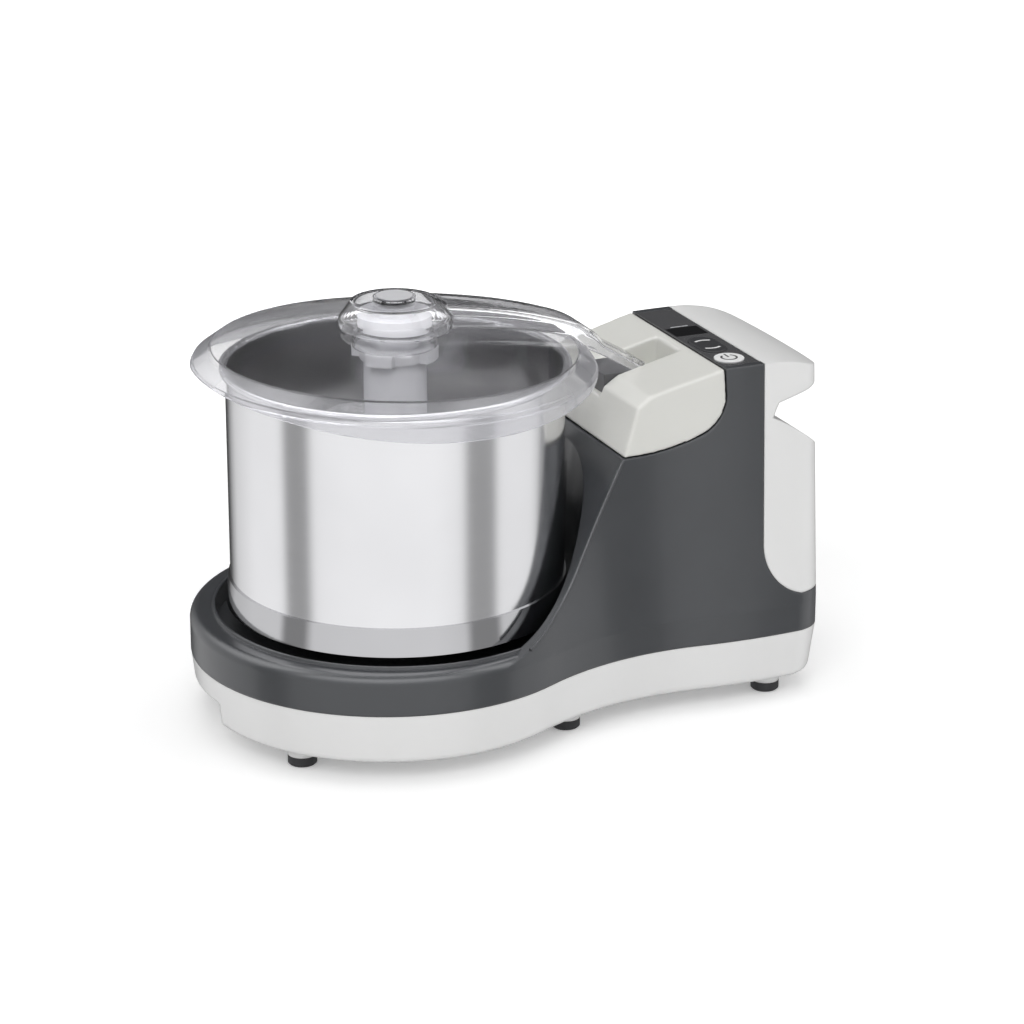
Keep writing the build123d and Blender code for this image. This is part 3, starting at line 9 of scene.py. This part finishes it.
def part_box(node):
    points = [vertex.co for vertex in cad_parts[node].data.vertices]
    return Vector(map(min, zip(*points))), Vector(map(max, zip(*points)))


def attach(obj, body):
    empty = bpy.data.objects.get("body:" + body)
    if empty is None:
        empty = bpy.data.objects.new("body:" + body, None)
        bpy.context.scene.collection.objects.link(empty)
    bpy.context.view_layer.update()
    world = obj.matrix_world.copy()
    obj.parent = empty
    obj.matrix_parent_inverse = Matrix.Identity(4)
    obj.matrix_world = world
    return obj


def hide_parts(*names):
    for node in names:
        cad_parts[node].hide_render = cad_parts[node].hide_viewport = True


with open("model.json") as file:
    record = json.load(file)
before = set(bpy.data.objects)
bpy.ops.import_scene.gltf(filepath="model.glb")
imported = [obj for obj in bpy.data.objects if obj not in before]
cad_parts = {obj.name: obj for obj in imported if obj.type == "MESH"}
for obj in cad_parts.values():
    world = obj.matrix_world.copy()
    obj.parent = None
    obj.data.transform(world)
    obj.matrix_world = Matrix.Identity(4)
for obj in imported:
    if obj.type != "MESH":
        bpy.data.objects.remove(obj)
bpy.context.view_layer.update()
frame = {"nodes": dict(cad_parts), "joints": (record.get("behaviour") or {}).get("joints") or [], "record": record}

nodes = frame["nodes"]
slots = {entry["node"]: entry["material_slot"] for entry in frame["record"]["subparts"]}

# The drum's axis, how far from it the lid turns milky, and the Y where the display's bar starts, in metres
drum_x = next(joint["pos_m"][0] for joint in frame["joints"] if joint["name"] == "drum_spin")
haze_near = 0.1145
haze_far = 0.1175
bar_start = 0.0242


# Node trees
class Tree:
    """A node tree with short calls."""

    def __init__(self, tree):
        self.tree = tree

    def node(self, kind, **values):
        """A new node; each value is the default of an input, or else a setting of the node."""
        made = self.tree.nodes.new(kind)
        for key, value in values.items():
            socket = key.replace("_", " ")
            if socket in made.inputs:
                made.inputs[socket].default_value = value
            else:
                setattr(made, key, value)
        return made

    def link(self, start, end):
        self.tree.links.new(start, end)

    def place(self, scale=(1, 1, 1)):
        """Object coordinates, scaled."""
        coords = self.node("ShaderNodeTexCoord")
        mapping = self.node("ShaderNodeMapping", Scale=scale)
        self.link(coords.outputs["Object"], mapping.inputs["Vector"])
        return mapping.outputs["Vector"]

    def axes(self, kind):
        """The X, Y and Z of one kind of coordinate."""
        coords = self.node("ShaderNodeTexCoord")
        parts = self.node("ShaderNodeSeparateXYZ")
        self.link(coords.outputs[kind], parts.inputs["Vector"])
        return parts.outputs

    def noise(self, scale, detail=3.0, stretch=(1, 1, 1)):
        texture = self.node("ShaderNodeTexNoise", Scale=scale, Detail=detail)
        self.link(self.place(stretch), texture.inputs["Vector"])
        return texture.outputs["Fac"]

    def ramp(self, value, stops):
        """The colour for a value, from stops of a position and a colour."""
        made = self.node("ShaderNodeValToRGB")
        elements = made.color_ramp.elements
        while len(elements) < len(stops):
            elements.new(0.5)
        for element, (position, colour) in zip(elements, stops):
            element.position = position
            element.color = (*colour, 1)
        self.link(value, made.inputs["Fac"])
        return made.outputs["Color"]

    def spread(self, value, low, high, start=0.0, end=1.0):
        """A value between start and end, moved to between low and high."""
        made = self.node("ShaderNodeMapRange", From_Min=start, From_Max=end, To_Min=low, To_Max=high)
        self.link(value, made.inputs["Value"])
        return made.outputs["Result"]

    def maths(self, operation, first, second):
        """One operation on two values; the second may be a plain number."""
        made = self.node("ShaderNodeMath", operation=operation)
        self.link(first, made.inputs[0])
        if isinstance(second, bpy.types.NodeSocket):
            self.link(second, made.inputs[1])
        else:
            made.inputs[1].default_value = second
        return made.outputs["Value"]

    def length(self, vector):
        made = self.node("ShaderNodeVectorMath", operation="LENGTH")
        self.link(vector, made.inputs[0])
        return made.outputs["Value"]

    def mix(self, share, first, second):
        """The first shader where the share is 0, the second where it is 1."""
        made = self.node("ShaderNodeMixShader")
        for index, source in enumerate((share, first, second)):
            self.link(source, made.inputs[index])
        return made.outputs["Shader"]


def shade(colour, factor):
    return tuple(channel * factor for channel in colour)


class Surface(Tree):
    """A material and its shader."""

    def __init__(self, name):
        self.material = bpy.data.materials.new(name)
        self.material.use_nodes = True
        super().__init__(self.material.node_tree)
        self.shader = self.tree.nodes["Principled BSDF"]

    def set(self, **values):
        for key, value in values.items():
            self.shader.inputs[key.replace("_", " ")].default_value = value

    def colour(self, value):
        self.link(value, self.shader.inputs["Base Color"])

    def cloudy(self, colour, dark, light, scale, detail):
        """A colour in patches, each a little darker or lighter than itself."""
        stops = [(0.3, shade(colour, dark)), (0.7, shade(colour, light))]
        self.colour(self.ramp(self.noise(scale, detail), stops))

    def rough(self, value, low, high):
        """A roughness between low and high, as the value goes from 0 to 1."""
        self.link(self.spread(value, low, high), self.shader.inputs["Roughness"])

    def bump(self, height, strength, distance, edge=0.0):
        """Relief from a height; an edge radius also rounds off corners in the shading."""
        made = self.node("ShaderNodeBump", Strength=strength, Distance=distance)
        self.link(height, made.inputs["Height"])
        if edge:
            soft = self.node("ShaderNodeBevel", samples=6, Radius=edge)
            self.link(soft.outputs["Normal"], made.inputs["Normal"])
        self.link(made.outputs["Normal"], self.shader.inputs["Normal"])

    def show(self, shader):
        """Shows another shader than the plain one."""
        self.link(shader, self.tree.nodes["Material Output"].inputs["Surface"])


# Materials
def plastic(name, colour, rough, edge=0.0, vary=0.04, grain=0.04, coat=0.0, metal=0.0):
    """Moulded plastic: a faint cloudiness in colour and gloss and a fine skin."""
    surface = Surface(name)
    surface.cloudy(colour, dark=1 - vary, light=1 + vary, scale=18.0, detail=4.0)
    surface.rough(surface.noise(scale=90.0, detail=5.0), rough * 0.88, rough * 1.12)
    surface.set(Coat_Weight=coat, Coat_Roughness=0.12, Metallic=metal)
    surface.bump(surface.noise(scale=1400.0, detail=2.0), strength=grain, distance=0.0002, edge=edge)
    return surface.material


def bare_metal(name, colour, rough, brushed, stretch=(40, 40, 2600)):
    """Bare metal; a stretch that is greatest in Z makes its brushing level lines."""
    surface = Surface(name)
    surface.cloudy(colour, dark=0.96, light=1.03, scale=9.0, detail=3.0)
    lines = surface.noise(scale=1.0, detail=3.0, stretch=stretch)
    surface.rough(lines, rough * 0.7, rough * 1.3)
    surface.set(Metallic=1.0)
    surface.bump(lines, strength=brushed, distance=0.00002)
    return surface.material


def granite(name):
    """Ground granite: dark and light grains in a grey mass."""
    surface = Surface(name)
    cells = surface.node("ShaderNodeTexVoronoi", Scale=520.0)
    surface.link(surface.place(), cells.inputs["Vector"])
    grains = surface.node("ShaderNodeSeparateColor")
    surface.link(cells.outputs["Color"], grains.inputs["Color"])
    stops = [(0.0, (0.025, 0.025, 0.028)), (0.3, (0.10, 0.10, 0.105)),
             (0.62, (0.20, 0.20, 0.205)), (0.9, (0.42, 0.41, 0.40))]
    surface.colour(surface.ramp(grains.outputs["Red"], stops))
    surface.rough(surface.noise(scale=300.0, detail=4.0), low=0.45, high=0.7)
    surface.bump(surface.noise(scale=700.0, detail=4.0), strength=0.25, distance=0.0003)
    return surface.material


def clear(name, tint, painted_edge_shade, milk_far=0.3):
    """Clear moulded plastic: greyer seen edge on, which is painted shade for the dark lines that refraction draws
    at its edges, milkier outside the drum, and with a faint shadow.
    """
    rough = 0.03
    milk_near = 0.03
    surface = Surface(name)
    facing = surface.node("ShaderNodeLayerWeight", Blend=0.5)
    # Painted shade: the colour darkens towards faces seen edge on, in place of the dark lines that refraction
    # draws at the edges
    stops = [(0.0, tint), (0.62, shade(tint, 0.98)), (0.95, painted_edge_shade)]
    surface.colour(surface.ramp(facing.outputs["Facing"], stops))
    surface.set(Transmission_Weight=1.0, IOR=1.45)
    surface.rough(surface.noise(scale=60.0, detail=4.0), rough * 0.6, rough * 1.6)
    surface.bump(surface.noise(scale=40.0, detail=2.0), strength=0.03, distance=0.0004)
    coords = surface.node("ShaderNodeTexCoord")
    off_axis = surface.node("ShaderNodeVectorMath", operation="MULTIPLY_ADD")
    surface.link(coords.outputs["Object"], off_axis.inputs[0])
    off_axis.inputs[1].default_value = (1, 1, 0)
    off_axis.inputs[2].default_value = (-drum_x, 0, 0)
    radius = surface.length(off_axis.outputs["Vector"])
    haze = surface.spread(radius, milk_near, milk_far, start=haze_near, end=haze_far)
    milk = surface.node("ShaderNodeBsdfTranslucent", Color=(0.72, 0.72, 0.75, 1))
    body = surface.mix(haze, surface.shader.outputs["BSDF"], milk.outputs["BSDF"])
    path = surface.node("ShaderNodeLightPath")
    through = surface.node("ShaderNodeBsdfTransparent", Color=(0.98, 0.98, 0.98, 1))
    surface.show(surface.mix(path.outputs["Is Shadow Ray"], body, through.outputs["BSDF"]))
    return surface.material


def frosted(name, colour):
    """Milky plastic that light passes into."""
    surface = Surface(name)
    surface.cloudy(colour, dark=0.97, light=1.03, scale=30.0, detail=3.0)
    surface.set(Transmission_Weight=0.2, IOR=1.45)
    surface.rough(surface.noise(scale=200.0, detail=3.0), low=0.3, high=0.45)
    surface.bump(surface.noise(scale=900.0, detail=2.0), strength=0.05, distance=0.0002, edge=0.0006)
    return surface.material


def windings(name):
    """Enamelled wire wound in fine turns."""
    surface = Surface(name)
    wire = surface.node("ShaderNodeTexWave", Scale=260.0, Distortion=0.6, bands_direction="Z")
    surface.link(surface.place(), wire.inputs["Vector"])
    turns = wire.outputs["Fac"]
    surface.colour(surface.ramp(turns, [(0.0, (0.16, 0.05, 0.02)), (1.0, (0.62, 0.27, 0.11))]))
    surface.set(Metallic=0.7, Roughness=0.35)
    surface.bump(turns, strength=0.6, distance=0.0004)
    return surface.material


def board(name):
    """Circuit board with faint tracks."""
    surface = Surface(name)
    tracks = surface.node("ShaderNodeTexBrick", Scale=60.0, Color1=(0.01, 0.09, 0.03, 1),
                          Color2=(0.012, 0.12, 0.04, 1), Mortar=(0.02, 0.2, 0.07, 1))
    surface.link(surface.place(), tracks.inputs["Vector"])
    surface.colour(tracks.outputs["Color"])
    surface.set(Roughness=0.35)
    surface.bump(tracks.outputs["Fac"], strength=0.3, distance=0.0001)
    return surface.material


def display(name):
    """Near black glossy window; the thin bar beside it, beyond bar_start in Y, is light."""
    surface = Surface(name)
    on_bar = surface.maths("GREATER_THAN", surface.axes("Object")["Y"], bar_start)
    surface.colour(surface.ramp(on_bar, [(0.0, (0.004, 0.004, 0.005)), (1.0, (0.55, 0.56, 0.58))]))
    surface.set(Specular_IOR_Level=0.35)
    surface.rough(surface.noise(scale=120.0), low=0.12, high=0.2)
    surface.bump(surface.noise(scale=600.0), strength=0.02, distance=0.0001)
    return surface.material


grey = (0.049, 0.052, 0.057)
white = (0.80, 0.80, 0.795)
warm_white = (0.70, 0.70, 0.665)
materials = {
    "grey_plastic": plastic("grey_plastic", grey, rough=0.3, edge=0.0026, vary=0.05, grain=0.05,
                            coat=0.4, metal=0.1),
    "white_plastic": plastic("white_plastic", white, rough=0.3, edge=0.0026, vary=0.015, coat=0.2),
    "warm_white_plastic": plastic("warm_white_plastic", warm_white, rough=0.3, edge=0.0014,
                                  vary=0.015, coat=0.2),
    "dark_plastic": plastic("dark_plastic", (0.09, 0.09, 0.095), rough=0.4, edge=0.0006),
    "strip_plastic": plastic("strip_plastic", (0.075, 0.075, 0.079), rough=0.22, edge=0.0004,
                             vary=0.03, grain=0.02, coat=0.5),
    "window_plastic": display("window_plastic"),
    "button_white": plastic("button_white", (0.82, 0.82, 0.82), rough=0.3, edge=0.0003, vary=0.01),
    "button_dark": plastic("button_dark", (0.035, 0.035, 0.038), rough=0.35, edge=0.0003),
    "rubber": plastic("rubber", (0.022, 0.022, 0.024), rough=0.7, edge=0.0005, vary=0.2, grain=0.3),
    "steel_drum": bare_metal("steel_drum", (0.80, 0.80, 0.81), rough=0.17, brushed=0.35),
    "steel_polished": bare_metal("steel_polished", (0.53, 0.53, 0.54), rough=0.1, brushed=0.08),
    "steel_plain": bare_metal("steel_plain", (0.55, 0.56, 0.58), rough=0.3, brushed=0.2,
                              stretch=(300, 300, 300)),
    "granite": granite("granite"),
    "frosted_plastic": frosted("frosted_plastic", (0.74, 0.74, 0.765)),
    "clear_plastic": clear("clear_plastic", tint=(0.965, 0.965, 0.975), painted_edge_shade=(0.42, 0.42, 0.43)),
    "circuit_board": board("circuit_board"),
    "copper_winding": windings("copper_winding"),
    "core_steel": bare_metal("core_steel", (0.2, 0.2, 0.21), rough=0.45, brushed=0.5,
                             stretch=(5, 5, 3000)),
    "cast_bracket": bare_metal("cast_bracket", (0.5, 0.5, 0.51), rough=0.45, brushed=0.6,
                               stretch=(500, 500, 500)),
    "bronze": bare_metal("bronze", (0.36, 0.2, 0.09), rough=0.4, brushed=0.4,
                         stretch=(700, 700, 700)),
    "capacitor_case": plastic("capacitor_case", (0.55, 0.55, 0.54), rough=0.35),
}
# The arm's clear plastic has far darker painted shade at its edges, and is less milky
arm_clear_painted_dark_edges = clear("clear_plastic_arm_painted_dark_edges", tint=(0.95, 0.95, 0.96), painted_edge_shade=(0.10, 0.10, 0.11), milk_far=0.08)


def paint(thing, like):
    """Gives a thing the finish of a node; the lid's arm has darker painted shade at its edges than the lid."""
    thing.data.materials.clear()
    thing.data.materials.append(arm_clear_painted_dark_edges if like == "lid_arm" else materials[slots[like]])


for name, thing in nodes.items():
    paint(thing, name)

# Pieces in place of, or on top of, the solids; corners within the weld, in metres, are made one
weld = 0.000002


def link_object(name, data):
    made = bpy.data.objects.new(name, data)
    bpy.context.scene.collection.objects.link(made)
    return made


def dress(piece, body, like):
    """Gives a piece the finish of a node and lets it ride on a body."""
    paint(piece, like)
    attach(piece, body)


def baked(thing):
    """The object's mesh with its modifiers or bevel applied."""
    graph = bpy.context.evaluated_depsgraph_get()
    return bpy.data.meshes.new_from_object(thing.evaluated_get(graph))


def welded(data):
    """A mesh opened for editing, with the corners that share a place made one."""
    shell = bmesh.new()
    shell.from_mesh(data)
    bmesh.ops.remove_doubles(shell, verts=shell.verts, dist=weld)
    return shell


def rounded_copy(name, voxel, rounds, keep):
    """A copy of a node whose edges are rounded off as moulding leaves them."""
    data = nodes[name].data.copy()
    shell = welded(data)
    shell.to_mesh(data)
    shell.free()
    made = link_object(name + "_rounded", data)
    remesh = made.modifiers.new("even", "REMESH")
    remesh.mode = "VOXEL"
    remesh.voxel_size = voxel
    smooth = made.modifiers.new("round", "SMOOTH")
    smooth.iterations = rounds
    thin = made.modifiers.new("thin", "DECIMATE")
    thin.ratio = keep
    made.data = baked(made)
    made.modifiers.clear()
    made.data.shade_smooth()
    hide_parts(name)
    return made


dress(rounded_copy("arm_cradle", voxel=0.0009, rounds=24, keep=0.2), "base", "arm_cradle")
dress(rounded_copy("lid_arm", voxel=0.0006, rounds=9, keep=0.35), "lid_and_arm", "lid_arm")

# The box, in metres, that holds the edge of the housing's sweep. Faces within flat_angle count as one.
sweep_left = -0.05
sweep_right = 0.056
sweep_low = 0.0745
sweep_high = 0.178
flat_angle = math.radians(0.6)
crease_angle = math.radians(24)
bead_radius = 0.0012

# Limits for the normals beside that edge: the side's Z and Y, then the sweep's Z and X
side_lean = 0.2
side_front = -0.5
sweep_lean = 0.15
sweep_back = 0.1


def is_crease(edge):
    """Whether an edge lies between the housing's upright front side and its leaning sweep."""
    middle = (edge.verts[0].co + edge.verts[1].co) / 2
    if len(edge.link_faces) != 2 or middle.y > 0 or not sweep_low < middle.z < sweep_high:
        return False
    if not sweep_left < middle.x < sweep_right or edge.calc_face_angle(0) < crease_angle:
        return False
    first, second = (face.normal for face in edge.link_faces)
    side, sweep = (first, second) if abs(first.z) < abs(second.z) else (second, first)
    is_side = abs(side.z) < side_lean and side.y < side_front
    return is_side and sweep.z > sweep_lean and sweep.x < sweep_back


def sweep_edge():
    """Corners of the housing along the front edge of its sweep, from the ring up to the cradle."""
    shell = welded(nodes["main_housing"].data)
    bmesh.ops.dissolve_limit(shell, angle_limit=flat_angle, verts=shell.verts, edges=shell.edges)
    shell.normal_update()
    spots = {tuple(corner.co) for edge in shell.edges if is_crease(edge) for corner in edge.verts}
    shell.free()
    return sorted(spots)


def bead(name, points, radius):
    """A round bead along points."""
    line = bpy.data.curves.new(name, "CURVE")
    line.dimensions = "3D"
    line.bevel_depth = radius
    line.bevel_resolution = 3
    line.use_fill_caps = True
    run = line.splines.new("POLY")
    run.points.add(len(points) - 1)
    for point, spot in zip(run.points, points):
        point.co = (*spot, 1)
    drawn = link_object(name, line)
    data = baked(drawn)
    bpy.data.objects.remove(drawn)
    made = link_object(name, data)
    made.data.shade_smooth()
    return made


front_edge = sweep_edge()
for name, side in (("sweep_bead_front", 1), ("sweep_bead_rear", -1)):
    points = [(x, y * side, z) for x, y, z in front_edge]
    dress(bead(name, points, bead_radius), "base", "main_housing")

# How deep a sign's foot sits in its button and how far it stands out, in metres
sign_root = 0.00005
sign_rise = 0.00006


def stroke(shape, points, width, low, high):
    """A flat line with round ends along points, raised from low to high."""
    half = width / 2
    last = len(points) - 1
    end_steps = 6
    ways = [(points[min(k + 1, last)] - points[max(k - 1, 0)]).normalized() for k in range(len(points))]
    offs = [Vector((-way.y, way.x)) * half for way in ways]
    turns = [math.pi * k / end_steps for k in range(1, end_steps)]
    ring = [point + off for point, off in zip(points, offs)]
    ring += [points[-1] + offs[-1] * math.cos(turn) + ways[-1] * half * math.sin(turn) for turn in turns]
    ring += [point - off for point, off in zip(reversed(points), reversed(offs))]
    ring += [points[0] - offs[0] * math.cos(turn) - ways[0] * half * math.sin(turn) for turn in turns]
    foot = [shape.verts.new((spot.x, spot.y, low)) for spot in ring]
    top = [shape.verts.new((spot.x, spot.y, high)) for spot in ring]
    shape.faces.new(foot)
    shape.faces.new(top)
    for k in range(len(ring)):
        shape.faces.new((foot[k - 1], foot[k], top[k], top[k - 1]))


def arc(middle, radius, start, end, steps=24):
    """Points on an arc, from the start angle to the end angle in degrees."""
    turns = [math.radians(start + (end - start) * k / steps) for k in range(steps + 1)]
    return [middle + Vector((math.cos(turn), math.sin(turn))) * radius for turn in turns]


def power_lines(middle):
    """A ring with a gap, and a bar that stands in the gap."""
    width = 0.0013
    bar_low = 0.0012
    bar_high = 0.0068
    ring = arc(middle, radius=0.005, start=128, end=412, steps=48)
    bar = [middle + Vector((0, bar_low)), middle + Vector((0, bar_high))]
    return [(ring, width), (bar, width)]


def turn_lines(middle):
    """Two short arcs that face each other."""
    width = 0.0017
    span = 64
    return [(arc(middle, radius=0.009, start=start, end=start + span), width) for start in (58, 238)]


def sign(name, button, body, like, lines):
    """Plain raised sign on a button; lines gives its strokes around the button's middle."""
    low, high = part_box(button)
    middle = Vector(((low.x + high.x) / 2, (low.y + high.y) / 2))
    shape = bmesh.new()
    for points, width in lines(middle):
        stroke(shape, points, width, high.z - sign_root, high.z + sign_rise)
    bmesh.ops.recalc_face_normals(shape, faces=shape.faces)
    data = bpy.data.meshes.new(name)
    shape.to_mesh(data)
    shape.free()
    dress(link_object(name, data), body, like)


sign("power_sign", "power_button", "power_key", "mode_button", power_lines)
sign("turn_sign", "mode_button", "mode_key", "power_button", turn_lines)

# Floor, in metres
floor_half = 4.0
floor_drop = 0.0002
glow_start = 0.35
glow_full = 1.3


def seen_share(tree):
    """One for a ray from the camera, a mirror or glass, and zero for any other."""
    path = tree.node("ShaderNodeLightPath")
    plain = tree.maths("MAXIMUM", path.outputs["Is Camera Ray"], path.outputs["Is Glossy Ray"])
    return tree.maths("MAXIMUM", plain, path.outputs["Is Transmission Ray"])


def floor_material():
    """Pale floor with soft shadows near the object; what is seen of it glows to white farther out."""
    surface = Surface("pale_floor")
    stops = [(0.0, (0.86, 0.86, 0.86)), (1.0, (0.9, 0.9, 0.9))]
    surface.colour(surface.ramp(surface.noise(scale=3.0), stops))
    surface.set(Roughness=0.6)
    distance = surface.length(surface.place())
    reach = surface.spread(distance, low=0.24, high=1.0, start=glow_start, end=glow_full)
    glow = surface.node("ShaderNodeEmission")
    surface.link(reach, glow.inputs["Strength"])
    dark = surface.node("ShaderNodeEmission", Strength=0.0)
    choice = surface.mix(seen_share(surface), dark.outputs["Emission"], glow.outputs["Emission"])
    total = surface.node("ShaderNodeAddShader")
    surface.link(surface.shader.outputs["BSDF"], total.inputs[0])
    surface.link(choice, total.inputs[1])
    surface.show(total.outputs["Shader"])
    return surface.material


corners = [(-floor_half, -floor_half, 0), (floor_half, -floor_half, 0),
           (floor_half, floor_half, 0), (-floor_half, floor_half, 0)]
plane = bpy.data.meshes.new("floor")
plane.from_pydata(corners, [], [(0, 1, 2, 3)])
floor = link_object("floor", plane)
floor.location.z = -floor_drop
floor.data.materials.append(floor_material())
floor.visible_glossy = False

# Light: even_strength is what falls on things, glossy_strength scales what mirrors see.
# Bands go by share of a turn from -X through -Y, and the other two by height, 0 straight down to 1 up.
even_strength = 0.55
glossy_strength = 4.25
band_levels = [(0.0, 0.34), (0.012, 0.34), (0.03, 0.95), (0.10, 1.0), (0.26, 1.0), (0.315, 0.92),
               (0.33, 0.35), (0.38, 0.35), (0.395, 0.92), (0.48, 0.9), (0.53, 0.40), (0.64, 0.05),
               (0.745, 0.05), (0.80, 0.7), (0.875, 0.92), (0.955, 0.95), (0.97, 0.34), (1.0, 0.34)]
height_levels = [(0.0, 0.23), (0.5, 0.25), (0.68, 0.25), (0.80, 0.6), (0.88, 0.8), (0.95, 0.8),
                 (0.985, 0.25)]
band_blue = 1.01
glass_colours = [(0.5, (1, 1, 1)), (0.6, (0.28, 0.28, 0.29))]


def make_world():
    """Even pale light: the camera sees white, mirrors see soft bands, and glass sees grey overhead."""
    world = bpy.data.worlds.new("studio")
    bpy.context.scene.world = world
    world.use_nodes = True
    world.node_tree.nodes.clear()
    tree = Tree(world.node_tree)
    parts = tree.axes("Generated")
    turn = tree.maths("ARCTAN2", parts["Y"], parts["X"])
    share = tree.spread(turn, 0.0, 1.0, start=-math.pi, end=math.pi)
    height = tree.spread(parts["Z"], 0.0, 1.0, start=-1.0, end=1.0)
    bands = tree.ramp(share, [(spot, (level, level, level * band_blue)) for spot, level in band_levels])
    rise = tree.ramp(height, [(spot, (level, level, level)) for spot, level in height_levels])
    bent = tree.ramp(height, glass_colours)
    even = tree.node("ShaderNodeBackground", Color=(1, 1, 1, 1), Strength=even_strength)
    seen = tree.node("ShaderNodeBackground", Color=(1, 1, 1, 1))
    through = tree.node("ShaderNodeBackground")
    tree.link(bent, through.inputs["Color"])
    glossy = tree.node("ShaderNodeBackground")
    tree.link(bands, glossy.inputs["Color"])
    tree.link(tree.maths("MULTIPLY", rise, glossy_strength), glossy.inputs["Strength"])
    path = tree.node("ShaderNodeLightPath")
    shader = even.outputs["Background"]
    for ray, look in (("Is Transmission Ray", through), ("Is Glossy Ray", glossy), ("Is Camera Ray", seen)):
        shader = tree.mix(path.outputs[ray], shader, look.outputs["Background"])
    out = tree.node("ShaderNodeOutputWorld")
    tree.link(shader, out.inputs["Surface"])


def softbox(name, location, aim, size, power):
    """A rectangular lamp that mirrors don't see."""
    lamp = bpy.data.lights.new(name, "AREA")
    lamp.shape = "RECTANGLE"
    lamp.size, lamp.size_y = size
    lamp.energy = power
    made = link_object(name, lamp)
    made.location = location
    made.rotation_euler = (Vector(aim) - Vector(location)).to_track_quat("-Z", "Y").to_euler()
    made.visible_glossy = False


make_world()
softbox("key", location=(-0.9, -1.3, 1.5), aim=(0, 0, 0.12), size=(1.0, 1.0), power=11)
softbox("top", location=(0.1, 0.2, 1.9), aim=(0, 0, 0.1), size=(1.4, 1.0), power=10)
softbox("side", location=(1.5, -1.0, 0.9), aim=(0.1, 0, 0.12), size=(0.7, 1.2), power=3.6)

# Camera, fitted to the photograph
camera_place = Vector((-0.84075, -1.9659, 0.8954))
forward = Vector((0.3737, 0.8630, -0.3400)).normalized()
roughly_up = Vector((0.1351, 0.3120, 0.9404))
rightward = forward.cross(roughly_up).normalized()
upward = rightward.cross(forward)
camera_data = bpy.data.cameras.new("camera")
camera_data.sensor_width = 36
camera_data.lens = 123.05
camera = link_object("camera", camera_data)
turning = Matrix((rightward, upward, -forward)).transposed()
camera.matrix_world = Matrix.Translation(camera_place) @ turning.to_4x4()
bpy.context.scene.camera = camera
bpy.context.scene.view_settings.view_transform = "Standard"
